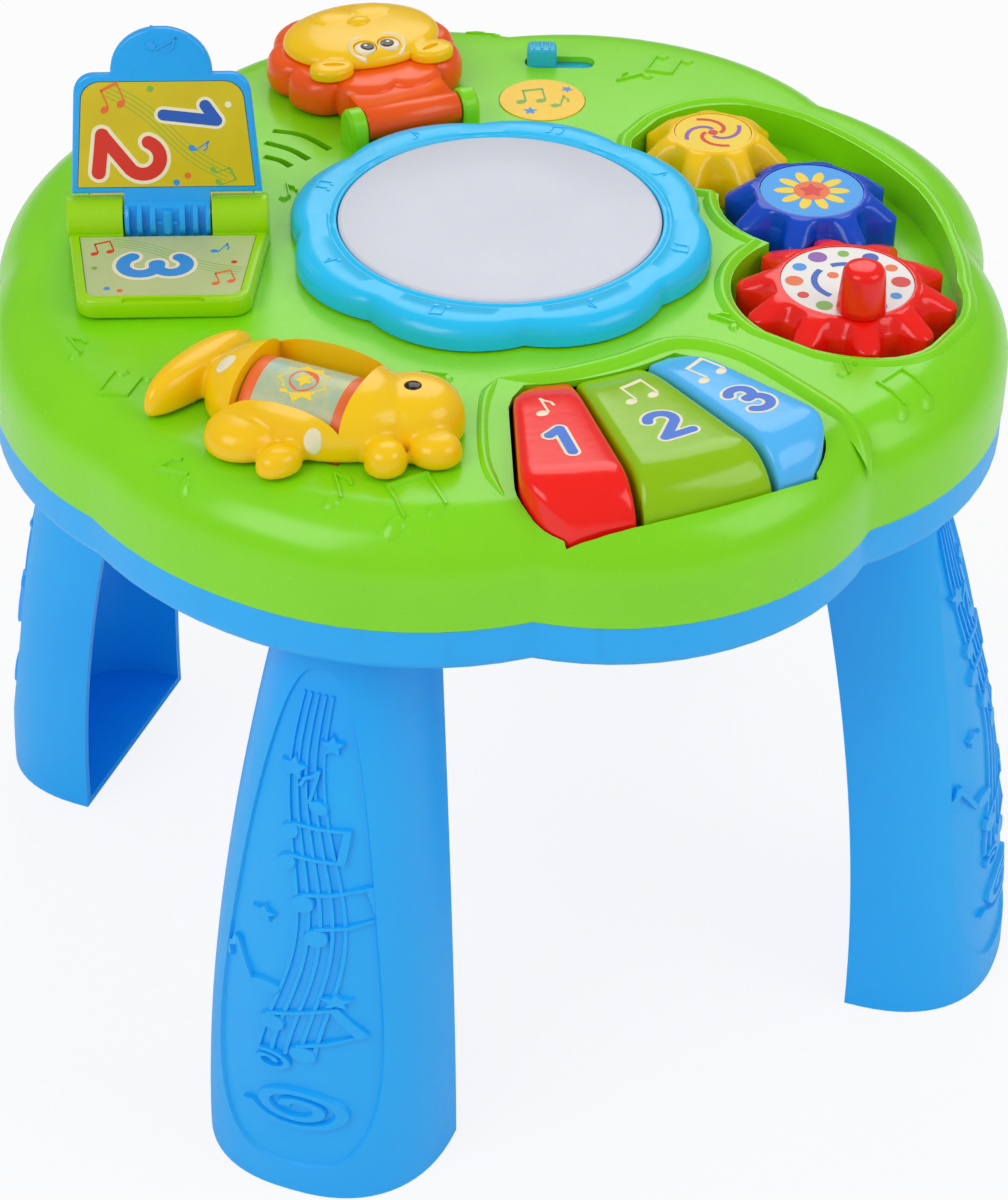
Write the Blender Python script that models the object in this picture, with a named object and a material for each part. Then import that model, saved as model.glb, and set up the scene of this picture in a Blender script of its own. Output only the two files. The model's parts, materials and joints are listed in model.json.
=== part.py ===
# Musical activity table for toddlers: a round lobed deck on four splayed legs.
# Metres, +Z up, origin on the floor below the middle of the deck.
# Station angles are counted from the front (-Y) towards the right (+X).

import math

import bmesh
import bpy
from mathutils import Matrix, Vector

for leftover in list(bpy.data.objects):
    bpy.data.objects.remove(leftover, do_unlink=True)

# General fits
gap = 0.0003
wall = 0.0025
cutOver = 0.020

# Deck and rim
tableRadius = 0.1833
deckHeight = 0.2775
deckFall = 0.0015
shoulderRadius = 0.022
shellHeight = 0.0395
partingHeight = deckHeight - shellHeight
rimHeight = 0.017
rimTuck = 0.005
notchAngles = (4, 46, 93, 132, 179, 222.5, 273, 311)
notchShares = (0.060, 0.060, 0.050, 0.056, 0.058, 0.045, 0.026, 0.026)
lobeSteps = 6

# Legs
legAngles = {"leg_front": -20, "leg_right": 70, "leg_rear": 160, "leg_left": -110}
legFootInset = 0.0230
legFootRadius = tableRadius - legFootInset
legFootHalf = 0.0452
legFootDepth = 0.0480
legTopInset = 0.0603
legTopRadius = tableRadius - legTopInset
legTopHalf = 0.0245
legTopDepth = 0.0386
legRadiusCurve = 2.0
legHalfCurve = 1.85
legDepthCurve = 1.15
legRoundness = 2.42
legWall = 0.003
legSole = 0.003
legLevels = 6
legSteps = 10
panelDepth = 0.0012
panelLowShare = 0.045
panelHighShare = 0.93
panelWidthShare = 0.40
plugWidth = 0.032
plugDepth = 0.020
plugHeight = 0.013
plugInset = 0.019

# Drum
drumRadius = 0.0572
drumThickness = 0.003
drumProud = 0.0098
drumTop = deckHeight + drumProud
drumTravel = 0.0015
drumSkirt = 0.0022
drumSkirtDrop = 0.0042
drumPlunger = 0.006
ringRadius = 0.0758
ringNotch = 0.0048
ringLobes = 8
ringPhase = 7.0
ringProud = 0.0093
ringTop = deckHeight + ringProud
ringClearance = 0.0005

# Keys
keyAngles = {"key_red": (2.6, 15.0), "key_lime": (15.9, 31.1), "key_blue": (32.0, 42.0)}
keyInner = 0.0948
keyOuter = 0.1705
keyDepth = 0.0155
keyBottom = deckHeight - keyDepth
keyRearProud = 0.0015
keyRearTop = deckHeight + keyRearProud
keyEdgeProud = 0.0075
keyEdgeTop = deckHeight + keyEdgeProud
keyEdgeRadius = 0.1550
keyFrontDrop = 0.0155
keyCrown = 0.0016
keyClearance = 0.0014
keyHingeRadius = 0.0880
keyHingeDepth = 0.0135
keyHingeHeight = deckHeight - keyHingeDepth
keyHubRadius = 0.0040
keyHubHalf = 0.0045
keyPinRadius = 0.00125
keyPinHalf = 0.0078
keyEarThickness = 0.0025
keyPlungerRadius = 0.1380
keyPlungerDrop = 0.0045
keyPlungerSize = 0.0030
runningClearance = 0.0004

# Gears
gearTeeth = {"gear_red": 10, "gear_blue": 8, "gear_yellow": 7}
gearModule = 0.00341
gearPlace = (0.1205, -0.0310)
gearLineAngles = (97.6, 131.6)
gearTurn = {"gear_red": 0.0, "gear_blue": 0.0, "gear_yellow": 0.0}
toothRadiusShares = (-1.41, 0.0, 0.82, 1.23)
toothWidthShares = (1.76, 1.41, 1.10, 0.50)
gearWall = 0.0125
gearRise = {"gear_red": 0.0052, "gear_blue": 0.0062, "gear_yellow": 0.0085}
gearRingRadius = {"gear_red": 0.0250, "gear_blue": 0.0205, "gear_yellow": 0.0160}
gearRim = 0.0016
gearRecess = 0.0012
gearShell = 0.0028
gearHubWall = 0.0030
axleRadius = 0.0045
axleHeight = 0.0120
screwFlange = 0.0072
screwFlangeHeight = 0.0014
screwHeadRadius = 0.0034
screwHeadHeight = 0.0016
screwShank = 0.0013
screwLength = 0.0080
decalThickness = 0.0006
pocketDepth = 0.0135
pocketClearance = 0.0020
pocketArcShares = ((40, 0.865), (62, 0.880), (85, 0.880), (105, 0.860), (130, 0.800), (150, 0.700))
knobRadius = 0.0086
knobTopRadius = 0.0073
knobHeight = 0.0175
knobOffset = 0.0193
knobAngle = -81.0
knobPegRadius = 0.0030
knobPegLength = 0.0030

# Book
bookPlace = (-0.1165, -0.0030)
bookTurn = 2.7
bookHingeProud = 0.0095
bookHingeHeight = deckHeight + bookHingeProud
bookWidth = 0.0710
bookEndWidth = 0.0600
bookLength = 0.0520
bookBarrelRadius = 0.0078
bookKnuckleWidth = 0.0300
bookPinRadius = 0.0016
bookRimWidth = 0.0035
bookRimHeight = 0.0012
cardThickness = 0.0005
leafWidth = 0.0665
leafTopWidth = 0.0610
leafLength = 0.0530
leafStart = 0.0095
leafThickness = 0.0042
leafTabRadius = 0.0175
leafTabRise = 0.0165
leafLean = 7.5
leafRimWidth = 0.0022

# Lion
lionAngle = -156.4
lionHingeRadius = 0.0842
lionHingeProud = 0.0070
lionHingeHeight = deckHeight + lionHingeProud
lionBarrelRadius = 0.0060
lionBarrelHalf = 0.0185
lionPinRadius = 0.0013
lionPostThickness = 0.0065
lionPostRadius = 0.0068
lionManeReach = 0.0470
lionManeRadius = 0.0375
lionManeScallop = 0.0030
lionManeLobes = 9
lionManeClearance = 0.0007
lionManeBottom = deckHeight + lionManeClearance
lionManeProud = 0.0140
lionManeTop = deckHeight + lionManeProud
lionFaceWidth = 0.0305
lionFaceLength = 0.0235
lionFaceOffset = 0.0030
lionFaceProud = 0.0210
lionFaceTop = deckHeight + lionFaceProud
lionEarRadius = 0.0085
lionEyeRadius = 0.0042
lionEyeSpread = 0.0048

# Lying animal with its roller
animalAngle = -23.4
animalRadius = 0.1310
animalCrest = 0.0215
animalHalfLength = 0.0370
animalHalfWidth = 0.0240
rollerRadius = 0.0175
rollerHalf = 0.0190
rollerHeight = deckHeight
rollerShift = 0.0100
rollerAxle = 0.0022
rollerAxleLength = 0.0040
animalEyeRadius = 0.0026
animalEyeDepth = 0.0012

# Switch, label and speaker
switchInset = 0.0468
switchShift = 0.0225
switchPlace = (switchShift, tableRadius - switchInset)
switchSlotLength = 0.0270
switchSlotWidth = 0.0100
switchKnobLength = 0.0115
switchKnobWidth = 0.0088
switchKnobRise = 0.0070
switchTravel = 0.0140
switchPlateMargin = 0.0025
switchPlate = 0.0016
labelPlace = (0.0155, 0.1045)
labelRadius = 0.0163
labelThickness = 0.0006
speakerPlace = (-0.0780, 0.0700)
speakerRadius = 0.0180
speakerDepth = 0.0120
speakerMagnet = 0.0090
slotWidth = 0.0026
slotLength = 0.0180
slotPitch = 0.0085

# Electronics and case
cellRadius = 0.00725
cellLength = 0.0505
cellPitch = 0.0150
cellNub = 0.0026
cellNubHeight = 0.0012
boxWall = 0.0020
doorMargin = 0.0040
doorThickness = 0.0022
doorTongueWidth = 0.0120
doorTongueThickness = 0.0012
contactThickness = 0.0006
boardWidth = 0.0700
boardDepth = 0.0600
boardThickness = 0.0016
postRadius = 0.0030
domeRadius = 0.0045
domeHeight = 0.0022
domeBase = 0.0008
keyBoardInner = 0.1230
keyBoardOuter = 0.1500
keyBoardDepth = 0.0285
keyBoardHeight = deckHeight - keyBoardDepth
caseScrewAngles = (-5.0, -58.0, -125.0, 140.0)
caseScrewInset = 0.0313
caseScrewRadius = tableRadius - caseScrewInset
columnRadius = 0.0042
caseShank = 0.0014
caseHeadRadius = 0.0030
caseHeadHeight = 0.0022
caseScrewLength = 0.0120

# Colours
green = (0.21, 0.68, 0.012)
skyBlue = (0.03, 0.32, 0.83)
cyan = (0.042, 0.59, 0.99)
lilac = (0.66, 0.69, 0.78)
red = (0.97, 0.018, 0.012)
lime = (0.29, 0.56, 0.004)
keyBlue = (0.16, 0.54, 0.96)
gearBlue = (0.009, 0.09, 0.64)
yellow = (0.93, 0.60, 0.015)
orange = (0.96, 0.11, 0.01)
gold = (0.64, 0.51, 0.02)
paleGreen = (0.62, 0.76, 0.45)
white = (0.85, 0.85, 0.85)
steel = (0.55, 0.56, 0.58)
black = (0.02, 0.02, 0.02)
rubberGrey = (0.35, 0.36, 0.38)
boardGreen = (0.02, 0.16, 0.06)


# Materials, objects and mesh building

def makeMaterial(name, colour, roughness, metallic=0.0):
    material = bpy.data.materials.new(name)
    material.use_nodes = True
    shader = material.node_tree.nodes["Principled BSDF"]
    shader.inputs["Base Color"].default_value = (colour[0], colour[1], colour[2], 1.0)
    shader.inputs["Roughness"].default_value = roughness
    shader.inputs["Metallic"].default_value = metallic
    return material


def isBent(face):
    # True where a face's corners don't lie in one plane.
    face.normal_update()
    start = face.verts[0].co
    return max(abs((vert.co - start).dot(face.normal)) for vert in face.verts) > gap / 100


def addPiece(name, bm, colour, roughness, metallic=0.0, parent=None, place=None):
    bmesh.ops.recalc_face_normals(bm, faces=bm.faces)
    bent = [face for face in bm.faces if isBent(face)]
    bmesh.ops.triangulate(bm, faces=bent)
    mesh = bpy.data.meshes.new(name)
    bm.to_mesh(mesh)
    bm.free()
    mesh.shade_smooth()
    mesh.set_sharp_from_angle(angle=math.radians(35))
    piece = bpy.data.objects.new(name, mesh)
    bpy.context.scene.collection.objects.link(piece)
    mesh.materials.append(makeMaterial(name, colour, roughness, metallic))
    if parent is not None:
        piece.parent = parent
    if place is not None:
        piece.location = place
    return piece


def addTool(name, bm, parent=None, place=None):
    tool = addPiece(name, bm, white, 0.5, parent=parent, place=place)
    tool.hide_render = True
    tool.display_type = "WIRE"
    return tool


def addEmpty(name, place, turn=0.0):
    empty = bpy.data.objects.new(name, None)
    empty.location = place
    empty.rotation_euler = (0.0, 0.0, math.radians(turn))
    bpy.context.scene.collection.objects.link(empty)
    return empty


def combine(piece, tool, operation):
    change = piece.modifiers.new(tool.name, "BOOLEAN")
    change.operation = operation
    change.object = tool
    change.solver = "EXACT"


def cut(piece, tool):
    combine(piece, tool, "DIFFERENCE")


def join(piece, tool):
    combine(piece, tool, "UNION")


def circle(radius, sides, x=0.0, y=0.0, turn=0.0):
    points = []
    for step in range(sides):
        angle = math.tau * step / sides + math.radians(turn)
        points.append((x + radius * math.cos(angle), y + radius * math.sin(angle)))
    return points


def addLoft(bm, loops):
    rings = []
    for loop in loops:
        rings.append([bm.verts.new(point) for point in loop])
    count = len(rings[0])
    for lower, upper in zip(rings, rings[1:]):
        for step in range(count):
            following = (step + 1) % count
            bm.faces.new((lower[step], lower[following], upper[following], upper[step]))
    bm.faces.new(list(reversed(rings[0])))
    bm.faces.new(rings[-1])


def addPrism(bm, outline, low, high):
    addLoft(bm, [[(x, y, low) for x, y in outline], [(x, y, high) for x, y in outline]])


def addDisc(bm, radius, low, high, sides=24, x=0.0, y=0.0):
    addPrism(bm, circle(radius, sides, x, y), low, high)


def addBox(bm, low, high):
    outline = ((low[0], low[1]), (high[0], low[1]), (high[0], high[1]), (low[0], high[1]))
    addPrism(bm, outline, low[2], high[2])


def addBar(bm, radius, low, high, sides=16, y=0.0, z=0.0):
    ends = []
    for x in (low, high):
        ends.append([(x, y + a, z + b) for a, b in circle(radius, sides)])
    addLoft(bm, ends)


def addTurned(bm, profile, sides, x=0.0, y=0.0):
    loops = []
    for radius, height in profile:
        loops.append([(a, b, height) for a, b in circle(radius, sides, x, y)])
    addLoft(bm, loops)


def addArch(bm, low, high, y, floor, centre, radius, steps=8):
    # A post with a half-round top, lying across X.
    ends = []
    for x in (low, high):
        loop = [(x, y - radius, floor), (x, y + radius, floor)]
        for step in range(steps + 1):
            angle = math.pi * step / steps
            loop.append((x, y + radius * math.cos(angle), centre + radius * math.sin(angle)))
        ends.append(loop)
    addLoft(bm, ends)


def addDome(bm, outline, levels, centre=(0.0, 0.0)):
    # Levels are (share of the outline, height) from the bottom edge to the crown.
    loops = []
    for share, height in levels:
        loop = []
        for x, y in outline:
            loop.append((centre[0] + (x - centre[0]) * share, centre[1] + (y - centre[1]) * share, height))
        loops.append(loop)
    addLoft(bm, loops)


def ellipse(halfX, halfY, sides, x=0.0, y=0.0, turn=0.0):
    points = []
    slope = math.radians(turn)
    for step in range(sides):
        angle = math.tau * step / sides
        a = halfX * math.cos(angle)
        b = halfY * math.sin(angle)
        points.append((x + a * math.cos(slope) - b * math.sin(slope), y + a * math.sin(slope) + b * math.cos(slope)))
    return points


def roundedBox(halfX, halfY, corner, x=0.0, y=0.0, steps=3):
    points = []
    for quarter, (sideX, sideY) in enumerate(((1, 1), (-1, 1), (-1, -1), (1, -1))):
        for step in range(steps + 1):
            angle = math.radians(90) * (quarter + step / steps)
            px = sideX * (halfX - corner) + corner * math.cos(angle)
            py = sideY * (halfY - corner) + corner * math.sin(angle)
            points.append((x + px, y + py))
    return points


def direction(angle):
    return math.sin(math.radians(angle)), -math.cos(math.radians(angle))


def polar(angle, radius):
    across, along = direction(angle)
    return radius * across, radius * along


def stationTurn(angle):
    # A station's own +Y points away from the middle of the table.
    return angle + 180.0


# Deck outline and surface

def lobedRadius(angle, fade=1.0):
    angle = (angle - notchAngles[0]) % 360 + notchAngles[0]
    edges = list(notchAngles) + [notchAngles[0] + 360]
    depths = list(notchShares) + [notchShares[0]]
    for index in range(len(notchAngles)):
        if edges[index] <= angle <= edges[index + 1]:
            share = (angle - edges[index]) / (edges[index + 1] - edges[index])
            depth = depths[index] if share < 0.5 else depths[index + 1]
            return tableRadius * (1.0 - depth * fade * (2 * share - 1) ** 2)
    return tableRadius


def lobedAngles(steps):
    angles = []
    edges = list(notchAngles) + [notchAngles[0] + 360]
    for low, high in zip(edges, edges[1:]):
        for step in range(steps):
            angles.append(low + (high - low) * step / steps)
    return angles


def lobedLoop(angles, inset, height, fade=1.0, share=1.0):
    loop = []
    for angle in angles:
        x, y = polar(angle, (lobedRadius(angle, fade) - inset) * share)
        loop.append((x, y, height))
    return loop


def deckLevel(radius):
    share = min(1.0, radius / (tableRadius - shoulderRadius))
    return deckHeight - deckFall * share * share


def deckLoops(steps, inset, low):
    angles = lobedAngles(steps)
    corner = shoulderRadius - inset
    edgeLevel = deckHeight - deckFall - inset
    loops = [lobedLoop(angles, inset, low)]
    for turn in (90, 66, 42, 18):
        across = corner * (1 - math.sin(math.radians(turn)))
        fade = 1.0 if turn > 30 else 0.85
        height = edgeLevel - corner * (1 - math.cos(math.radians(turn)))
        loops.append(lobedLoop(angles, inset + across, height, fade))
    for share, fade in ((0.86, 0.55), (0.60, 0.0)):
        level = deckLevel(share * tableRadius) - inset
        loops.append(lobedLoop(angles, 0.0, level, fade, share))
    return loops


# Gear layout: red drives blue, blue drives yellow
gearNames = list(gearTeeth)
gearFloor = deckHeight - deckFall - pocketDepth
gearBottom = gearFloor + gap * 2
gearCentres = {gearNames[0]: gearPlace}
for order, lineAngle in enumerate(gearLineAngles):
    before = gearNames[order]
    after = gearNames[order + 1]
    reach = gearModule * (gearTeeth[before] + gearTeeth[after])
    startX, startY = gearCentres[before]
    slope = math.radians(lineAngle)
    gearCentres[after] = (startX + reach * math.cos(slope), startY + reach * math.sin(slope))
gearPhases = {}
gearPhases[gearNames[0]] = gearLineAngles[0] + gearTurn[gearNames[0]]
gearPhases[gearNames[1]] = gearLineAngles[0] + 180 + 180 / gearTeeth[gearNames[1]]
bluePitch = 360 / gearTeeth[gearNames[1]]
blueTooth = (gearLineAngles[1] - gearPhases[gearNames[1]]) / bluePitch
toothLead = (blueTooth - math.floor(blueTooth)) * gearTeeth[gearNames[1]] / gearTeeth[gearNames[2]]
yellowPitch = 360 / gearTeeth[gearNames[2]]
gearPhases[gearNames[2]] = gearLineAngles[1] + 180 + yellowPitch / 2 + toothLead * bluePitch


def tipRadius(name):
    return gearModule * (gearTeeth[name] + toothRadiusShares[-1])


def gearOutline(name, inset=0.0):
    points = []
    pitchRadius = gearModule * gearTeeth[name]
    for tooth in range(gearTeeth[name]):
        middle = math.radians(gearPhases[name]) + math.tau * tooth / gearTeeth[name]
        flank = []
        for height, width in zip(toothRadiusShares, toothWidthShares):
            radius = pitchRadius + gearModule * height - inset
            flank.append((radius, gearModule * width / radius))
        for radius, half in flank:
            points.append((radius * math.cos(middle - half), radius * math.sin(middle - half)))
        for radius, half in reversed(flank):
            points.append((radius * math.cos(middle + half), radius * math.sin(middle + half)))
    return points


def pocketReach(angle, spread):
    # Nearest and farthest reach of the gears along one direction from the middle.
    across, along = direction(angle)
    near = None
    far = None
    for name in gearNames:
        x, y = gearCentres[name]
        reach = tipRadius(name) + pocketClearance + spread
        middle = x * across + y * along
        off = x * along - y * across
        if middle > 0 and abs(off) < reach:
            half = math.sqrt(reach * reach - off * off)
            near = middle - half if near is None else min(near, middle - half)
            far = middle + half if far is None else max(far, middle + half)
    return near, far


def pocketEdge(spread, steps=24):
    hits = []
    for degree in range(360):
        if pocketReach(degree, spread)[0] is not None:
            hits.append(degree)
    inner = []
    outer = []
    first = hits[0]
    last = hits[-1]
    for step in range(steps + 1):
        angle = (first + last) / 2 - (last - first) / 2 * math.cos(math.pi * step / steps)
        near, far = pocketReach(angle, spread)
        arc = 0.0
        for (low, lowShare), (high, highShare) in zip(pocketArcShares, pocketArcShares[1:]):
            if low <= angle <= high:
                arc = tableRadius * (lowShare + (highShare - lowShare) * (angle - low) / (high - low)) + spread
        ease = min(1.0, (angle - first) / 14, (last - angle) / 9)
        far = max(far, far + (arc - far) * max(0.0, ease))
        inner.append(polar(angle, near))
        outer.append(polar(angle, far))
    return inner[1:-1] + list(reversed(outer))


# Key layout
def keyTop(radius):
    if radius <= keyEdgeRadius:
        share = (radius - keyInner) / (keyEdgeRadius - keyInner)
        return keyRearTop + (keyEdgeTop - keyRearTop) * share
    share = min(1.0, (radius - keyEdgeRadius) / (keyOuter - keyEdgeRadius))
    return keyEdgeTop - keyFrontDrop * (1 - math.sqrt(1 - 0.97 * share * share)) - 0.25 * keyCrown * share


def keySpan(name, radius):
    # The outer keys are rounded at their free front and rear corners.
    low, high = keyAngles[name]
    names = list(keyAngles)
    rear = max(0.0, 1 - (radius - keyInner) / (0.16 * (keyOuter - keyInner)))
    front = max(0.0, (radius - keyInner) / (keyOuter - keyInner) - 0.70) / 0.30
    if name == names[0]:
        low = low + (high - low) * (0.28 * rear * rear + 0.42 * front ** 3)
    if name == names[-1]:
        high = high - (high - low) * (0.35 * rear * rear + 0.55 * front ** 3)
    return low, high


def keyRows():
    span = keyOuter - keyInner
    return [keyInner + span * share for share in (0.0, 0.05, 0.14, 0.40, 0.66, 0.796, 0.87, 0.94, 0.985, 1.0)]


def addKeyBody(bm, name):
    columns = 4
    top = []
    bottom = []
    for radius in keyRows():
        low, high = keySpan(name, radius)
        topRow = []
        bottomRow = []
        for column in range(columns + 1):
            share = column / columns
            x, y = polar(low + (high - low) * share, radius)
            edge = keyCrown if column in (0, columns) else 0.0
            topRow.append(bm.verts.new((x, y, keyTop(radius) - edge)))
            bottomRow.append(bm.verts.new((x, y, keyBottom)))
        top.append(topRow)
        bottom.append(bottomRow)
    lastRow = len(top) - 1
    for row in range(lastRow):
        for column in range(columns):
            bm.faces.new((top[row][column], top[row][column + 1], top[row + 1][column + 1], top[row + 1][column]))
            bm.faces.new((bottom[row][column], bottom[row + 1][column], bottom[row + 1][column + 1], bottom[row][column + 1]))
        for column in (0, columns):
            bm.faces.new((top[row][column], bottom[row][column], bottom[row + 1][column], top[row + 1][column]))
    for row in (0, lastRow):
        for column in range(columns):
            bm.faces.new((top[row][column], top[row][column + 1], bottom[row][column + 1], bottom[row][column]))


def keyBayOutline(spread):
    names = list(keyAngles)
    left = []
    right = []
    for radius in keyRows():
        low = keySpan(names[0], radius)[0] - math.degrees(spread / radius)
        high = keySpan(names[-1], radius)[1] + math.degrees(spread / radius)
        left.append((low, radius))
        right.append((high, radius))
    inner = keyInner - spread
    outer = keyOuter + spread
    left[0] = (left[0][0], inner)
    right[0] = (right[0][0], inner)
    left[-1] = (left[-1][0], outer)
    right[-1] = (right[-1][0], outer)
    points = []
    for angle, radius in left:
        points.append(polar(angle, radius))
    for share in (0.2, 0.4, 0.6, 0.8):
        points.append(polar(left[-1][0] + (right[-1][0] - left[-1][0]) * share, outer))
    for angle, radius in reversed(right):
        points.append(polar(angle, radius))
    for share in (0.25, 0.5, 0.75):
        points.append(polar(right[0][0] + (left[0][0] - right[0][0]) * share, inner))
    return points


# Station frames
bookEmpty = addEmpty("book_station", (bookPlace[0], bookPlace[1], 0.0), bookTurn)
lionEmpty = addEmpty("lion_station", (0.0, 0.0, 0.0), stationTurn(lionAngle))
animalEmpty = addEmpty("animal_station", (0.0, 0.0, 0.0), stationTurn(animalAngle))
keyEmpties = {}
for keyName, (keyLow, keyHigh) in keyAngles.items():
    keyEmpties[keyName] = addEmpty(keyName + "_station", (0.0, 0.0, 0.0), stationTurn((keyLow + keyHigh) / 2))

# Top shell: lobed deck, hollow below, with its inner bosses kept solid
deck = bmesh.new()
addLoft(deck, deckLoops(lobeSteps, 0.0, partingHeight + gap / 2))
topShell = addPiece("top_shell", deck, green, 0.25)

hollow = bmesh.new()
addLoft(hollow, deckLoops(lobeSteps // 2, wall, partingHeight - cutOver))
hollowTool = addTool("deck_hollow", hollow)

cup = bmesh.new()
addPrism(cup, pocketEdge(wall), gearFloor - wall, deckHeight + cutOver)
cupTool = addTool("gear_cup", cup)
cut(hollowTool, cupTool)

columns = bmesh.new()
columnLow = partingHeight + gap / 2
for angle in caseScrewAngles:
    x, y = polar(angle, caseScrewRadius)
    addDisc(columns, columnRadius, columnLow - cutOver * 2, deckHeight + cutOver, 10, x, y)
switchDeck = deckLevel(math.hypot(*switchPlace)) - wall
switchPlateLow = switchDeck - gap - switchPlate
switchPlateHalf = switchSlotLength / 2 + switchTravel / 2 + switchPlateMargin
switchPostShift = switchPlateHalf + switchTravel / 2 + postRadius + gap
for side in (-1, 1):
    addDisc(columns, postRadius, switchPlateLow - gap, deckHeight + cutOver, 8, switchPlace[0] + side * switchPostShift, switchPlace[1])
speakerRoof = deckLevel(math.hypot(*speakerPlace)) - wall
addDisc(columns, speakerRadius + wall + gap, speakerRoof - speakerDepth * 0.5, deckHeight + cutOver, 20, *speakerPlace)
columnTool = addTool("deck_columns", columns)
cut(hollowTool, columnTool)

for keyName, keyEmpty in keyEmpties.items():
    ears = bmesh.new()
    for side in (-1, 1):
        start = side * (keyHubHalf + gap * 2)
        end = side * (keyHubHalf + gap * 2 + keyEarThickness)
        addBox(
            ears,
            (min(start, end), keyHingeRadius - keyHubRadius, keyHingeHeight - keyHubRadius),
            (max(start, end), keyHingeRadius + keyHubRadius, deckHeight + cutOver),
        )
    earTool = addTool(keyName + "_ears", ears, keyEmpty)
    cut(hollowTool, earTool)

bearing = bmesh.new()
for side in (-1, 1):
    start = rollerShift + side * (rollerHalf + gap * 2)
    end = start + side * (rollerAxleLength + gap)
    addBox(
        bearing,
        (min(start, end), animalRadius - rollerAxle * 3, rollerHeight - rollerAxle * 3),
        (max(start, end), animalRadius + rollerAxle * 3, deckHeight + cutOver),
    )
bearingTool = addTool("roller_bearings", bearing, animalEmpty)
cut(hollowTool, bearingTool)
cut(topShell, hollowTool)

pocket = bmesh.new()
addPrism(pocket, pocketEdge(0.0), gearFloor, deckHeight + cutOver)
pocketTool = addTool("gear_pocket", pocket)
axles = bmesh.new()
for gearName in gearNames:
    addDisc(axles, axleRadius, gearFloor - wall, gearFloor + axleHeight, 16, *gearCentres[gearName])
axleTool = addTool("gear_axles", axles)
cut(pocketTool, axleTool)
cut(topShell, pocketTool)

openings = bmesh.new()
addPrism(openings, keyBayOutline(keyClearance), partingHeight - cutOver, deckHeight + cutOver)
for gearName in gearNames:
    x, y = gearCentres[gearName]
    addDisc(openings, screwShank + gap, gearFloor - cutOver, deckHeight + cutOver, 10, x, y)
addDisc(openings, drumPlunger + ringClearance * 2, partingHeight, deckHeight + cutOver, 20)
switchLow = deckHeight - cutOver
slotHalfX = switchSlotLength / 2
slotHalfY = switchSlotWidth / 2
addPrism(openings, roundedBox(slotHalfX, slotHalfY, slotHalfY * 0.5, *switchPlace), switchLow, deckHeight + cutOver)
labelDeck = deckLevel(math.hypot(*labelPlace))
addDisc(openings, labelRadius + gap, labelDeck - labelThickness, deckHeight + cutOver, 24, *labelPlace)
for angle in caseScrewAngles:
    x, y = polar(angle, caseScrewRadius)
    addDisc(openings, caseShank + gap, columnLow - cutOver, columnLow + caseScrewLength, 8, x, y)
for order in (-1, 0, 1):
    x = speakerPlace[0] + slotPitch * 0.35 * order
    y = speakerPlace[1] + slotPitch * order
    addPrism(openings, roundedBox(slotLength / 2, slotWidth / 2, slotWidth * 0.45, x, y), speakerRoof - wall, deckHeight + cutOver)
openingTool = addTool("deck_openings", openings)
cut(topShell, openingTool)
speakerCup = bmesh.new()
addDisc(speakerCup, speakerRadius + gap, speakerRoof - speakerDepth, speakerRoof - gap * 2, 20, *speakerPlace)
cut(topShell, addTool("speaker_cup", speakerCup))

for keyName, keyEmpty in keyEmpties.items():
    pinHole = bmesh.new()
    addBar(pinHole, keyPinRadius + gap, -keyPinHalf - gap, keyPinHalf + gap, 12)
    pinHoleTool = addTool(keyName + "_pin_hole", pinHole, keyEmpty, (0.0, keyHingeRadius, keyHingeHeight))
    cut(topShell, pinHoleTool)

rollerWell = bmesh.new()
wellHalf = rollerRadius + gap * 3
addBox(
    rollerWell,
    (rollerShift - rollerHalf - gap, animalRadius - wellHalf, partingHeight),
    (rollerShift + rollerHalf + gap, animalRadius + wellHalf, deckHeight + cutOver),
)
rollerWellTool = addTool("roller_well", rollerWell, animalEmpty)
cut(topShell, rollerWellTool)
axleWay = bmesh.new()
wayLow = -rollerHalf - rollerAxleLength - gap
wayHigh = rollerHalf + rollerAxleLength + gap
addBox(
    axleWay,
    (rollerShift + wayLow, animalRadius - rollerAxle - gap, rollerHeight - rollerAxle - gap),
    (rollerShift + wayHigh, animalRadius + rollerAxle + gap, deckHeight + cutOver),
)
axleWayTool = addTool("roller_axle_way", axleWay, animalEmpty)
cut(topShell, axleWayTool)

# Base shell: blue tray with leg sockets, battery box and posts
floorTop = partingHeight - rimHeight + wall
rimBottom = partingHeight - rimHeight
angles = lobedAngles(lobeSteps)
tray = bmesh.new()
addLoft(tray, [
    lobedLoop(angles, rimTuck, rimBottom),
    lobedLoop(angles, rimTuck * 0.35, rimBottom + rimTuck * 0.45),
    lobedLoop(angles, gap, rimBottom + rimTuck),
    lobedLoop(angles, gap, partingHeight - gap / 2),
])
baseShell = addPiece("base_shell", tray, skyBlue, 0.28)

coarse = lobedAngles(lobeSteps // 2)
trayHollow = bmesh.new()
addLoft(trayHollow, [
    lobedLoop(coarse, rimTuck + wall, floorTop),
    lobedLoop(coarse, wall + gap, floorTop + rimTuck),
    lobedLoop(coarse, wall + gap, partingHeight + cutOver),
])
trayHollowTool = addTool("tray_hollow", trayHollow)

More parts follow.
